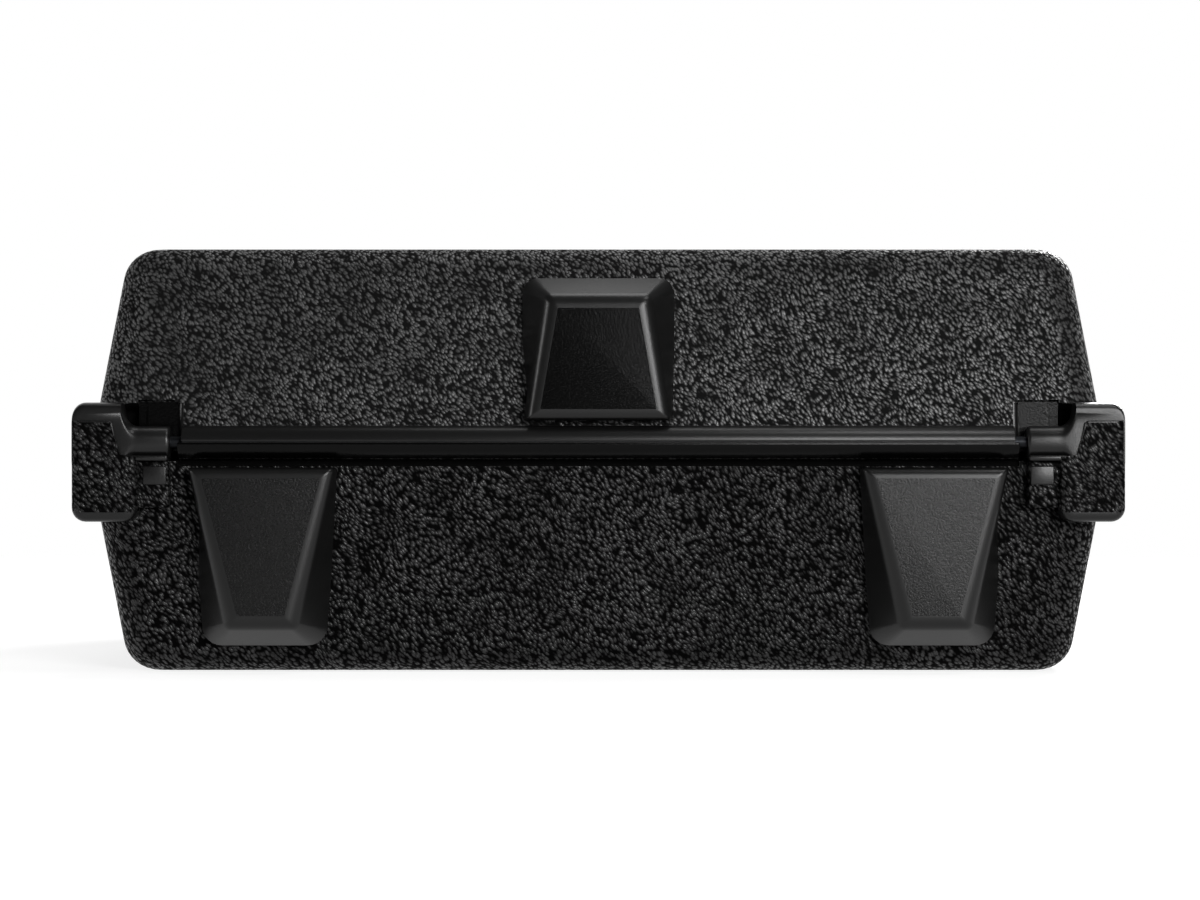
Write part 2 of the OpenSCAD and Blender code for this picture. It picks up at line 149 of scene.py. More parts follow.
def round_polygon(corners: Sequence[Corner], steps: int = 6) -> list[Point]:
    """Returns a closed outline whose corners are round.

    Args:
        corners: Each corner's two coordinates and its radius.
        steps: Steps round each corner.

    Returns:
        The points, as many for each corner whatever its radius.
    """
    points = []
    for k, (_, _, r) in enumerate(corners):
        here, back, ahead = sides_at(corners, k)
        half = back.angle(ahead) / 2
        centre = here + (back + ahead).normalized() * (r / math.sin(half))
        first = (here + back * (r / math.tan(half)) - centre).normalized()
        last = (here + ahead * (r / math.tan(half)) - centre).normalized()
        points += [tuple(centre + first.slerp(last, i / steps) * r) for i in range(steps + 1)]
    return points


def inset(corners: Sequence[Corner], by: float, least_r: float = 0.3) -> list[Corner]:
    """Moves the sides of an outline inwards.

    Args:
        corners: Each corner's two coordinates and its radius.
        by: Distance between each old side and its new one.
        least_r: The least radius that a corner keeps.

    Returns:
        The new corners.
    """
    moved = []
    for k, (_, _, r) in enumerate(corners):
        here, back, ahead = sides_at(corners, k)
        spot = here + (back + ahead).normalized() * (by / math.sin(back.angle(ahead) / 2))
        moved.append((spot.x, spot.y, max(r - by, least_r)))
    return moved


def bow(start: Vector, corner: Vector, end: Vector, share: float) -> Vector:
    """Returns the point at a share of the curve that rounds a corner between start and end."""
    rest = 1 - share
    return start * rest**2 + corner * (2 * share * rest) + end * share**2


def loft(rings: Sequence[Sequence[Vector]], closed: bool = False) -> Mesh:
    """Skins closed rings of equal length.

    Args:
        rings: The rings, in order, each with as many points as the others.
        closed: Whether the last ring joins the first; otherwise both ends get a cap.

    Returns:
        A closed mesh.
    """
    bm = bmesh.new()
    rows = [[bm.verts.new(p) for p in ring] for ring in rings]
    pairs = list(zip(rows, rows[1:]))
    if closed:
        pairs.append((rows[-1], rows[0]))
    for a, b in pairs:
        for k in range(len(a)):
            n = (k + 1) % len(a)
            bm.faces.new((a[k], a[n], b[n], b[k]))
    if not closed:
        bm.faces.new(rows[0])
        bm.faces.new(rows[-1])
    bmesh.ops.recalc_face_normals(bm, faces=bm.faces)
    return bm


def paint(bm: Mesh, finish: Finish, where: Callable[[Vector, Vector], bool] | None = None) -> Mesh:
    """Gives some faces a finish.

    Args:
        bm: The mesh, which is changed.
        finish: The finish.
        where: Says from a face's centre and normal whether it gets the finish. Without it, every face does.

    Returns:
        The same mesh.
    """
    bm.normal_update()
    for face in bm.faces:
        if where is None or where(face.calc_center_median(), face.normal):
            face.material_index = finish
    return bm


def bare(bm: Mesh) -> Mesh:
    """Gives a whole mesh the bare finish."""
    return paint(bm, Finish.BARE)


def raised(
    face: Sequence[Corner], root: Sequence[Corner], face_y: float, root_y: float, edge_w: float,
    finish: Finish, steps: int = 6,
) -> Mesh:
    """Returns a block that stands out along Y from a wall, with a rounded edge round its face.

    Args:
        face: The corners of its face, as X, Z and radius.
        root: The corners of its root, as many as the face has.
        face_y: Y of the face.
        root_y: Y of the root.
        edge_w: Width of the rounding on the face and on the side.
        finish: Finish of the flat face.
        steps: Steps across the rounding.

    Returns:
        A closed mesh with bare sides.
    """
    # The rounding takes up no more than this share of the side.
    most = 0.9
    flat = [Vector((x, face_y, z)) for x, z in round_polygon(inset(face, edge_w))]
    edge = [Vector((x, face_y, z)) for x, z in round_polygon(face)]
    foot = [Vector((x, root_y, z)) for x, z in round_polygon(root)]
    side = [a.lerp(b, min(edge_w / (b - a).length, most)) for a, b in zip(edge, foot)]
    rings = [[bow(a, b, c, k / steps) for a, b, c in zip(flat, edge, side)] for k in range(steps + 1)]
    bm = bare(loft([*rings, foot]))
    return paint(
        bm, finish, lambda centre, normal: abs(centre.y - face_y) < NEAR / 10 and abs(normal.y) > SQUARE
    )


def bent(points: Sequence[Vector], reach: float, steps: int = 8) -> list[Vector]:
    """Rounds the inner corners of an open path.

    Args:
        points: The path's corners.
        reach: How far from each corner its bend starts.
        steps: Steps round each bend.

    Returns:
        The path's points.
    """
    path = [points[0]]
    for before, here, after in zip(points, points[1:], points[2:]):
        a = here + (before - here).normalized() * reach
        b = here + (after - here).normalized() * reach
        path += [bow(a, here, b, k / steps) for k in range(steps + 1)]
    return [*path, points[-1]]


def tube(path: Sequence[Vector], r: float, count: int = 24) -> Mesh:
    """Sweeps a circle along a path.

    Args:
        path: The points of the path.
        r: Radius of the circle.
        count: Points in each ring.

    Returns:
        A closed mesh.
    """
    ways = [(path[min(k + 1, len(path) - 1)] - path[max(k - 1, 0)]).normalized() for k in range(len(path))]
    across = ways[0].orthogonal().normalized()
    rings = []
    for k, (spot, way) in enumerate(zip(path, ways)):
        if k:
            across = ways[k - 1].rotation_difference(way) @ across
        other = way.cross(across)
        rings.append([spot + across * a + other * b for a, b in circle(0, 0, r, count)])
    return loft(rings)


def prism(section: Sequence[Point], x0: float, x1: float) -> Mesh:
    """Draws out a section in Y and Z along X.

    Args:
        section: The outline's points as Y and Z.
        x0: Where it starts.
        x1: Where it ends.

    Returns:
        A closed mesh.
    """
    return loft([[Vector((x, y, z)) for y, z in section] for x in (x0, x1)])


def block(xs: Pair, ys: Pair, zs: Pair) -> Mesh:
    """Returns a plain block from its two ends along each axis, to be softened or joined."""
    (y0, y1), (z0, z1) = ys, zs
    return prism([(y0, z0), (y1, z0), (y1, z1), (y0, z1)], *xs)


def side_prism(section: Sequence[Point], side: Side, near: float, far: float) -> Mesh:
    """Draws out a section on one side of the case, between two distances from its middle."""
    return prism(section, *sorted((side.value * near, side.value * far)))


def turned(profile: Sequence[Point], line: Point, closed: bool = False, count: int = 48) -> Mesh:
    """Turns a profile round a line along X.

    Args:
        profile: Points as X and radius, from one end to the other.
        line: Y and Z of the line.
        closed: Whether the profile is a closed outline, as a sleeve's is.
        count: Points in each ring.

    Returns:
        A closed mesh.
    """
    return loft([[Vector((x, y, z)) for y, z in circle(*line, r, count)] for x, r in profile], closed)


def soften(bm: Mesh, width: float, steps: int = 3, finish: Finish = Finish.GRAIN) -> Mesh:
    """Rounds every sharp edge.

    Args:
        bm: The mesh, which is changed.
        width: How far each rounding reaches from its edge.
        steps: Faces across the rounding.
        finish: Finish of the rounding.

    Returns:
        The same mesh.
    """
    edges = [e for e in bm.edges if e.is_manifold and e.calc_face_angle(0) > SHARP_ANGLE]
    bmesh.ops.bevel(
        bm, geom=edges, offset=width, segments=steps, profile=0.5, affect="EDGES",
        clamp_overlap=True, material=finish,
    )
    return bm


def mirrored(bm: Mesh) -> Mesh:
    """Copies a mesh to the other side of the case.

    Args:
        bm: The mesh, which stays as it is.

    Returns:
        The copy.
    """
    other = bm.copy()
    bmesh.ops.scale(other, vec=(-1, 1, 1), verts=other.verts)
    bmesh.ops.reverse_faces(other, faces=other.faces)
    return other


def as_object(name: str, parts: Sequence[Mesh], finishes: Sequence[Material]) -> Piece:
    """Joins meshes drawn in millimetres into one object in metres.

    Args:
        name: The object's name.
        parts: The meshes, which are used up.
        finishes: The materials, in the order of Finish.

    Returns:
        The object, linked to the scene.
    """
    mesh = bpy.data.meshes.new(name)
    whole = bmesh.new()
    for part in parts:
        piece = bpy.data.meshes.new("part")
        part.to_mesh(piece)
        part.free()
        whole.from_mesh(piece)
        bpy.data.meshes.remove(piece)
    bmesh.ops.scale(whole, vec=(MM, MM, MM), verts=whole.verts)
    for f in whole.faces:
        f.smooth = True
    for e in whole.edges:
        e.smooth = e.is_manifold and e.calc_face_angle(0) < SHARP_ANGLE
    whole.to_mesh(mesh)
    whole.free()
    for finish in finishes:
        mesh.materials.append(finish)
    made = bpy.data.objects.new(name, mesh)
    bpy.context.scene.collection.objects.link(made)
    return made


def combined(bm: Mesh, other: Mesh, how: Cut) -> Mesh:
    """Cuts one solid by another.

    Args:
        bm: The solid, which is used up.
        other: The cutting solid, which is used up.
        how: What stays of the solid.

    Returns:
        The new solid.
    """
    weld = 0.001
    solid, tool = as_object("solid", [bm], []), as_object("tool", [other], [])
    cut = solid.modifiers.new("cut", "BOOLEAN")
    cut.operation, cut.object, cut.solver = how.value, tool, "EXACT"
    view = bpy.context.evaluated_depsgraph_get()
    made = bmesh.new()
    made.from_mesh(bpy.data.meshes.new_from_object(solid.evaluated_get(view)))
    for used in (solid, tool):
        bpy.data.objects.remove(used)
    bmesh.ops.scale(made, vec=(1 / MM, 1 / MM, 1 / MM), verts=made.verts)
    bmesh.ops.remove_doubles(made, verts=made.verts, dist=weld)
    return made


def place(piece: Piece, body: str, slot: str, *nodes: str) -> None:
    """Puts a piece on its body and hides the nodes that it stands for.

    Args:
        piece: The piece.
        body: The CAD body that it moves with.
        slot: The record's material slot. It is not used.
        nodes: The CAD nodes that it replaces.
    """
    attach(piece, body)
    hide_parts(*nodes)
    LOG.info("%s on %s, %d faces", piece.name, body, len(piece.data.polygons))


def dress(node: str, finish: Material) -> None:
    """Gives a CAD node that stays in sight its material.

    Args:
        node: The node's name.
        finish: The material.
    """
    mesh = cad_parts[node].data
    mesh.materials.clear()
    mesh.materials.append(finish)
    LOG.info("%s dressed in %s", node, finish.name)


# Materials


def linear(code: str) -> tuple[float, float, float, float]:
    """Turns an sRGB hex colour, such as #1A1A1B, into Blender's linear colour with alpha 1."""
    channels = [int(code[k : k + 2], 16) / 255 for k in (1, 3, 5)]
    return tuple(c / 12.92 if c <= 0.04045 else ((c + 0.055) / 1.055) ** 2.4 for c in channels) + (1.0,)


def scale_of(size_mm: float) -> float:
    """Returns the scale of a pattern whose features measure so many millimetres."""
    return 1 / (size_mm * MM)


def add_node(tree: Tree, kind: str, links: dict | None = None, **settings: object) -> bpy.types.Node:
    """Adds a node with its settings, values and links.

    Args:
        tree: The tree that gets the node.
        kind: The node's type name.
        links: What each input gets, by name or index: a value or another node's output.
        settings: Attributes of the node itself.

    Returns:
        The node.
    """
    node = tree.nodes.new(kind)
    for key, value in settings.items():
        setattr(node, key, value)
    for key, value in (links or {}).items():
        if isinstance(value, bpy.types.NodeSocket):
            tree.links.new(value, node.inputs[key])
        else:
            node.inputs[key].default_value = value
    return node


@dataclass(frozen=True)
class Surface:
    """What every finish shares: its material's name and the way from its shader to the output."""

    name: str

    def shader(self, tree: Tree) -> bpy.types.Node:
        """Returns the shader node, which each finish makes in its own way."""
        raise NotImplementedError

    def build(self) -> Material:
        """Makes the finish's material.

        Returns:
            The material.
        """
        material = bpy.data.materials.new(self.name)
        material.use_nodes = True
        tree = material.node_tree
        tree.nodes.clear()
        add_node(tree, "ShaderNodeOutputMaterial", {"Surface": self.shader(tree).outputs[0]})
        return material


@dataclass(frozen=True)
class GrainedPolyethylene(Surface):
    """High-density polyethylene, blow moulded against an etched leather grain."""

    # The beads are as large as the real ones. Their tops get a painted highlight and their creases painted
    # shade.
    crease_shade_colour: str = "#030303"
    top_highlight_colour: str = "#262626"
    bead_mm: float = 1.5
    # The beads are longer than wide and lean to the left.
    stretch: float = 2.1
    lean: float = -48.0
    lean_axis: Triple = (0.15, 1.0, 0.1)
    crease_at: float = 0.7
    top_at: float = 0.12
    # The grain runs a little crooked and in paler and darker patches, as a hide's does.
    wander_mm: float = 10.0
    wander_reach: float = 3.2
    patch_dark: float = 0.6
    patch_pale: float = 1.15
    # Fine wrinkles lie on the beads.
    wrinkles: float = 3.0
    wrinkle_share: float = 0.35
    depth_mm: float = 0.22
    # Only the tops shine. The creases are rougher, and their reflection is turned down as painted shade.
    roughness: float = 0.27
    crease_rougher: float = 0.3
    sheen: float = 0.27
    crease_sheen: float = 0.01

    def shader(self, tree: Tree) -> bpy.types.Node:
        """Builds the shader: bead tops with a painted highlight, parted by creases in painted shade.

        Args:
            tree: The material's tree.

        Returns:
            The shader node.
        """
        spot = add_node(tree, "ShaderNodeTexCoord").outputs["Object"]
        wander = add_node(tree, "ShaderNodeTexNoise", {
            "Vector": spot, "Scale": scale_of(self.wander_mm), "Detail": 2.0, "Roughness": 0.5,
        })
        shift = add_node(tree, "ShaderNodeVectorMath", {
            0: wander.outputs["Color"], 1: (self.wander_reach * MM,) * 3,
        }, operation="MULTIPLY").outputs[0]
        wandering = add_node(tree, "ShaderNodeVectorMath", {0: spot, 1: shift}, operation="ADD").outputs[0]
        leaning = add_node(tree, "ShaderNodeVectorRotate", {
            "Vector": wandering, "Axis": self.lean_axis, "Angle": math.radians(self.lean),
        }, rotation_type="AXIS_ANGLE").outputs[0]
        drawn_out = add_node(tree, "ShaderNodeVectorMath", {
            0: leaning, 1: (1.0, 1.0, self.stretch),
        }, operation="MULTIPLY").outputs[0]
        beads = add_node(tree, "ShaderNodeTexVoronoi", {
            "Vector": drawn_out, "Scale": scale_of(self.bead_mm), "Randomness": 1.0,
        }).outputs["Distance"]
        top = add_node(tree, "ShaderNodeMapRange", {
            "Value": beads, "From Min": self.crease_at, "From Max": self.top_at,
        }, interpolation_type="SMOOTHSTEP").outputs["Result"]
        patch = add_node(tree, "ShaderNodeMapRange", {
            "Value": wander.outputs["Fac"], "From Min": 0.35, "From Max": 0.65,
            "To Min": self.patch_dark, "To Max": self.patch_pale,
        }).outputs["Result"]
        # Painted highlight on the bead tops, paler and darker in random patches; the creases get painted
        # shade.
        patchy_painted_highlight = add_node(tree, "ShaderNodeMath", {
            0: top, 1: patch,
        }, operation="MULTIPLY", use_clamp=True).outputs[0]
        # The colour runs from painted shade in the creases to painted highlight on the tops.
        tone = add_node(tree, "ShaderNodeMix", {
            0: patchy_painted_highlight, 6: linear(self.crease_shade_colour), 7: linear(self.top_highlight_colour),
        }, data_type="RGBA").outputs[2]
        fine = add_node(tree, "ShaderNodeTexNoise", {
            "Vector": drawn_out, "Scale": scale_of(self.bead_mm / self.wrinkles), "Detail": 1.0,
        }).outputs["Fac"]
        height = add_node(tree, "ShaderNodeMath", {
            0: fine, 1: self.wrinkle_share, 2: top,
        }, operation="MULTIPLY_ADD").outputs[0]
        bump = add_node(tree, "ShaderNodeBump", {
            "Height": height, "Distance": self.depth_mm * MM, "Strength": 1.0,
        }).outputs["Normal"]
        gloss = add_node(tree, "ShaderNodeMapRange", {
            "Value": top, "To Min": self.roughness + self.crease_rougher, "To Max": self.roughness,
        }).outputs["Result"]
        # The reflection is turned down in the creases as painted shade.
        mirror = add_node(tree, "ShaderNodeMapRange", {
            "Value": patchy_painted_highlight, "To Min": self.crease_sheen, "To Max": self.sheen,
        }).outputs["Result"]
        return add_node(tree, "ShaderNodeBsdfPrincipled", {
            "Base Color": tone, "Roughness": gloss, "IOR": 1.54, "Normal": bump, "Specular IOR Level": mirror,
        })


@dataclass(frozen=True)
class SmoothPlastic(Surface):
    """Polyethylene or nylon from a mould of bare steel: a satin skin with faint flow mottling."""

    colour: str = "#0B0B0B"
    roughness: float = 0.32
    # The skin's mottling is finer than this on the real case, and is drawn coarser so that it shows.
    mottle_mm: float = 0.5
    depth_mm: float = 0.02
    # It breaks highlights up into slightly glossier and duller spots.
    glossier: float = 0.05
    duller: float = 0.08
    sheen: float = 0.2

    def shader(self, tree: Tree) -> bpy.types.Node:
        """Builds the finish's shader.

        Args:
            tree: The material's tree.

        Returns:
            The shader node.
        """
        mottle = add_node(tree, "ShaderNodeTexNoise", {
            "Vector": add_node(tree, "ShaderNodeTexCoord").outputs["Object"],
            "Scale": scale_of(self.mottle_mm), "Detail": 3.0, "Roughness": 0.6,
        }).outputs["Fac"]
        bump = add_node(tree, "ShaderNodeBump", {
            "Height": mottle, "Distance": self.depth_mm * MM,
        }).outputs["Normal"]
        gloss = add_node(tree, "ShaderNodeMapRange", {
            "Value": mottle, "To Min": self.roughness - self.glossier, "To Max": self.roughness + self.duller,
        }).outputs["Result"]
        return add_node(tree, "ShaderNodeBsdfPrincipled", {
            "Base Color": linear(self.colour), "Roughness": gloss, "IOR": 1.54, "Normal": bump,
            "Specular IOR Level": self.sheen,
        })


@dataclass(frozen=True)
class DrawnSteel(Surface):
    """Steel, drawn or turned, then plated, or painted dark as shade where it sits in a gap. Its gloss varies
    in faint lines along the piece.
    """

    colour: str = "#A9AAAD"
    roughness: float = 0.24
    # Real drawing lines are a tenth of this, and are drawn coarser so that the gloss varies.
    line_mm: float = 0.3
    drawn: Triple = (0.15, 1.0, 1.0)
    glossier: float = 0.1
    duller: float = 0.12

    def shader(self, tree: Tree) -> bpy.types.Node:
        """Builds the finish's shader.

        Args:
            tree: The material's tree.

        Returns:
            The shader node.
        """
        lines = add_node(tree, "ShaderNodeVectorMath", {
            0: add_node(tree, "ShaderNodeTexCoord").outputs["Object"], 1: self.drawn,
        }, operation="MULTIPLY").outputs[0]
        scratch = add_node(tree, "ShaderNodeTexNoise", {
            "Vector": lines, "Scale": scale_of(self.line_mm), "Detail": 2.0,
        }).outputs["Fac"]
        gloss = add_node(tree, "ShaderNodeMapRange", {
            "Value": scratch, "To Min": self.roughness - self.glossier,
            "To Max": self.roughness + self.duller,
        }).outputs["Result"]
        return add_node(tree, "ShaderNodeBsdfPrincipled", {
            "Base Color": linear(self.colour), "Metallic": 1.0, "Roughness": gloss,
        })


@dataclass(frozen=True)
class OpenCellFoam(Surface):
    """Charcoal polyurethane foam, cut from a block: matt, with open cells whose pits are painted darker as
    shade.
    """

    colour: str = "#2B2B2D"
    # Real cells are about half as wide, and are drawn coarser so that the pits show.
    cell_mm: float = 0.9
    depth_mm: float = 0.5
    pit_shade_tone: float = 0.35
    wall_at: float = 0.8

    def shader(self, tree: Tree) -> bpy.types.Node:
        """Builds the finish's shader.

        Args:
            tree: The material's tree.

        Returns:
            The shader node.
        """
        cells = add_node(tree, "ShaderNodeTexVoronoi", {
            "Vector": add_node(tree, "ShaderNodeTexCoord").outputs["Object"],
            "Scale": scale_of(self.cell_mm),
        }).outputs["Distance"]
        # Painted shade in each cell's pit.
        tone = add_node(tree, "ShaderNodeMapRange", {
            "Value": cells, "From Max": self.wall_at, "To Min": self.pit_shade_tone, "To Max": 1.0,
        }).outputs["Result"]
        shade = add_node(tree, "ShaderNodeVectorMath", {
            0: linear(self.colour)[:3], "Scale": tone,
        }, operation="SCALE").outputs[0]
        bump = add_node(tree, "ShaderNodeBump", {
            "Height": cells, "Distance": self.depth_mm * MM,
        }).outputs["Normal"]
        return add_node(tree, "ShaderNodeBsdfPrincipled", {
            "Base Color": shade, "Roughness": 0.95, "Normal": bump, "Specular IOR Level": 0.2,
        })


@dataclass(frozen=True)
class SoftRubber(Surface):
    """Black moulded rubber with a dry, slightly dusty face."""

    colour: str = "#1B1B1B"
    # Real grit is about a quarter of this, and is drawn coarser so that the face looks dry.
    grit_mm: float = 0.4
    depth_mm: float = 0.03

    def shader(self, tree: Tree) -> bpy.types.Node:
        """Builds the finish's shader.

        Args:
            tree: The material's tree.

        Returns:
            The shader node.
        """
        grit = add_node(tree, "ShaderNodeTexNoise", {
            "Vector": add_node(tree, "ShaderNodeTexCoord").outputs["Object"],
            "Scale": scale_of(self.grit_mm), "Detail": 3.0,
        }).outputs["Fac"]
        bump = add_node(tree, "ShaderNodeBump", {
            "Height": grit, "Distance": self.depth_mm * MM,
        }).outputs["Normal"]
        return add_node(tree, "ShaderNodeBsdfPrincipled", {
            "Base Color": linear(self.colour), "Roughness": 0.72, "IOR": 1.52, "Normal": bump,
        })


@dataclass(frozen=True)
class StudioPaper(Surface):
    """Matt paper that the camera, mirrors and glass see as white, and that takes the case's shadow."""

    colour: str = "#8A8A8A"
    glow: float = 0.8

    def shader(self, tree: Tree) -> bpy.types.Node:
        """Builds the finish's shader.

        Args:
            tree: The material's tree.

        Returns:
            The shader node.
        """
        path = add_node(tree, "ShaderNodeLightPath").outputs
        seen = path["Is Camera Ray"]
        for kind in ("Is Glossy Ray", "Is Transmission Ray"):
            seen = add_node(tree, "ShaderNodeMath", {0: seen, 1: path[kind]}, operation="MAXIMUM").outputs[0]
        strength = add_node(tree, "ShaderNodeMath", {0: seen, 1: self.glow}, operation="MULTIPLY").outputs[0]
        return add_node(tree, "ShaderNodeBsdfPrincipled", {
            "Base Color": linear(self.colour), "Roughness": 0.9,
            "Emission Color": linear("#FFFFFF"), "Emission Strength": strength,
        })


@dataclass
class Palette:
    """The finishes of the case, built once."""

    # The base's walls: bead tops with a painted highlight that also glint in the light, between creases in
    # painted shade
    grained_base: Material = field(default_factory=GrainedPolyethylene("hdpe_leather_grain_base").build)
    # The lid's walls: the same hide, finer and shallower, and greyer: its tops and creases get paler painted
    # light
    grained_lid: Material = field(default_factory=GrainedPolyethylene(
        "hdpe_leather_grain_lid", crease_shade_colour="#0E0E0E", top_highlight_colour="#373737", bead_mm=1.25, stretch=1.8,
        depth_mm=0.12, roughness=0.34, sheen=0.5,
    ).build)
    # Rims, ears, knuckles and inside: satin, with a soft line of light along every round edge
    bare: Material = field(default_factory=SmoothPlastic("hdpe_satin_edge", sheen=0.24).build)
    # The base's feet: near black, with an uneven skin that breaks its highlight up
    foot_face: Material = field(default_factory=SmoothPlastic(
        "hdpe_matt_foot", colour="#060606", roughness=0.26, mottle_mm=0.45, depth_mm=0.1, sheen=0.15,
    ).build)
    # Lid's foot, barrel's lower half and notches: the same skin, painted darkest as shade, finely speckled
    lid_foot_face: Material = field(default_factory=SmoothPlastic(
        "hdpe_speckled_foot", colour="#040404", roughness=0.17, mottle_mm=0.5, depth_mm=0.06, sheen=0.07,
    ).build)
    # Levers and handle: a little greyer than the shells
    nylon: Material = field(
        default_factory=SmoothPlastic("nylon_moulded_black", colour="#131313", roughness=0.34).build
    )
    # Bails, lever pins and handle pins: bright, with long highlights
    steel: Material = field(default_factory=DrawnSteel("steel_nickel_plated").build)
    # Hinge pins: steel painted dark and dull as the shade of the gap between knuckle and barrel
    gap_shaded_steel: Material = field(
        default_factory=DrawnSteel("steel_shaded_in_gap", colour="#1E1F21", roughness=0.45).build
    )
    # Foams: matt charcoal, with pits in painted shade and no highlight
    foam: Material = field(default_factory=OpenCellFoam("polyurethane_foam_charcoal").build)
    # Grip: black with a broad dull highlight along each ridge
    rubber: Material = field(default_factory=SoftRubber("rubber_moulded_grip").build)


# The case


@dataclass(frozen=True)
class CaseForm:
    """Sizes of the case in millimetres, as its maker's drawing would give them."""

    width: float = 260.0
    depth: float = 200.0
    height: float = 108.0
    draft: float = 9.6
    corner_r: float = 12.0
    edge_r: float = 9.0
    rim_gap: float = 0.3
    rim_r: float = 0.8
    skin: float = 2.4
    wall_pack: float = 10.0
    floor_pack: float = 8.0
    inner_draft: float = 6.0
    inner_corner_r: float = 8.0
    inner_edge_r: float = 6.0
    lip_t: float = 2.0
    lip_h: float = 3.0
    lip_gap: float = 0.4
    hinge_back: float = 1.5
    hinge_rise: float = 4.5
    barrel_d: float = 8.25
    barrel_relief: float = 2.2
    knuckle_d: float = 8.0
    knuckle_w: float = 8.0
    knuckle_gap: float = 2.0
    ear_w: float = 16.5
    ear_r: float = 3.5
    ear_h: float = 30.0
    ear_proud: float = 2.0
    ear_crown_r: float = 10.0
    ear_gap: float = 0.7
    foot_reach: float = 4.6
    blow_hole_d: float = 5.0
    seat_proud: float = 2.0
    seat_w: float = 38.0
    seat_r: float = 3.0
    seat_edge_r: float = 0.8
    lug_edge_r: float = 0.6
    latch_x: float = 85.0
    latch_stand: float = 7.0
    latch_drop: float = 20.0
    latch_lug_w: float = 14.0
    lever_r: float = 3.6
    wire_r: float = 1.25
    bar_rise: float = 8.0
    bar_stand: float = 5.0
    handle_x: float = 58.0
    handle_stand: float = 7.0
    handle_drop: float = 8.0
    handle_lug_t: float = 6.0
    eye_r: float = 5.0
    side_gap: float = 0.35

    @property
    def part_z(self) -> float:
        """Height of the parting plane."""
        return self.height / 2

    @property
    def wall_root(self) -> float:
        """Y in the middle of the front wall, where what stands on it has its root."""
        return self.depth / 2 - self.wall_pack / 2

    @property
    def axis(self) -> Point:
        """Y and Z of the hinge axis."""
        return (-self.depth / 2 - self.hinge_back, self.part_z + self.hinge_rise)

    @property
    def latch_pivot(self) -> Point:
        """Y and Z of the levers' pivots."""
        return (self.depth / 2 + self.latch_stand, self.part_z - self.latch_drop)

    @property
    def handle_pivot(self) -> Point:
        """Y and Z of the handle's pivots."""
        return (self.depth / 2 + self.handle_stand, self.part_z - self.handle_drop)

    @property
    def rest_y(self) -> float:
        """The plane that the feet end in."""
        return self.axis[0] - self.foot_reach

    @property
    def ear_x(self) -> float:
        """Where an ear starts."""
        return self.width / 2 + self.ear_proud - self.ear_w

    @property
    def knuckle_x(self) -> float:
        """Where a knuckle starts."""
        return self.ear_x - self.knuckle_w

    @property
    def barrel_half(self) -> float:
        """Half the barrel's length."""
        return self.knuckle_x - self.knuckle_gap

    @property
    def ear_low_z(self) -> float:
        """The lower end of an ear."""
        return self.axis[1] + self.ear_crown_r - self.ear_h

    @property
    def notch_x(self) -> float:
        """Where the lid's notch starts."""
        return self.barrel_half + self.knuckle_gap / 4

    @property
    def relief_r(self) -> float:
        """Radius of the hollow in the base's rim under the barrel."""
        return self.barrel_d / 2 + self.barrel_relief

    def is_inside(self, spot: Vector) -> bool:
        """Says whether a point of a shell's surface belongs to its inside or its rim.

        Args:
            spot: The point.

        Returns:
            Whether it does.
        """
        within = abs(spot.x) < self.width / 2 - self.wall_pack + NEAR
        within &= abs(spot.y) < self.depth / 2 - self.wall_pack + NEAR
        within &= self.floor_pack - NEAR < spot.z < self.height - self.floor_pack + NEAR
        return within or abs(spot.z - self.part_z) < self.rim_gap / 2 + NEAR

    def is_relief(self, spot: Vector) -> bool:
        """Says whether a point lies in the hollow under the barrel.

        Args:
            spot: The point.

        Returns:
            Whether it does.
        """
        y, z = self.axis
        within = abs(spot.x) < self.notch_x + NEAR
        return within and math.hypot(spot.y - y, spot.z - z) < self.relief_r + NEAR / 2

    def ring(self, hx: float, hy: float, r: float, up: float, way: int) -> list[Vector]:
        """Returns one ring of a half shell.

        Args:
            hx: Half its size along X.
            hy: Half its size along Y.
            r: Radius of its corners.
            up: Distance from the parting plane.
            way: 1 for the lid, -1 for the base.

        Returns:
            The ring's points.
        """
        return [Vector((x, y, self.part_z + way * up)) for x, y in rounded_rectangle(hx, hy, r)]

    def rim_edge(self, way: int) -> list[list[Vector]]:
        """Returns the two rings that round the outer edge of a rim.

        Args:
            way: 1 for the lid, -1 for the base.

        Returns:
            The rings, from the rim's face outwards.
        """
        hx, hy, r, rim = self.width / 2, self.depth / 2, self.rim_r, self.rim_gap / 2
        near = 0.3 * r
        return [
            self.ring(hx - r, hy - r, self.corner_r - r, rim, way),
            self.ring(hx - near, hy - near, self.corner_r, rim + near, way),
        ]

    def drafted(
        self, inside: float, low: float, high: float, draft: float, corner_r: float, edge_r: float, way: int,
        steps: int = 8,
    ) -> list[list[Vector]]:
        """Returns the rings of a drafted block whose far edge is round.

        Args:
            inside: Distance of its side inside the case's at the parting plane.
            low: Distance of its first ring from the parting plane.
            high: Distance of its far face.
            draft: Its draft in degrees.
            corner_r: Radius of its upright corners.
            edge_r: Radius round its far edge.
            way: 1 for the lid, -1 for the base.
            steps: Rings round the far edge.

        Returns:
            The rings, from the parting plane outwards.
        """
        lean = math.radians(draft)
        slope = math.tan(lean)
        hx, hy = self.width / 2 - inside, self.depth / 2 - inside
        rings = [self.ring(hx - slope * low, hy - slope * low, corner_r, low, way)]
        bend = high - edge_r * (1 - math.sin(lean))
        for k in range(steps + 1):
            a = lean + (math.pi / 2 - lean) * k / steps
            shrink = slope * bend + edge_r * (math.cos(lean) - math.cos(a))
            r = corner_r - edge_r * (1 - math.cos(a))
            rings.append(self.ring(hx - shrink, hy - shrink, r, high - edge_r * (1 - math.sin(a)), way))
        return rings

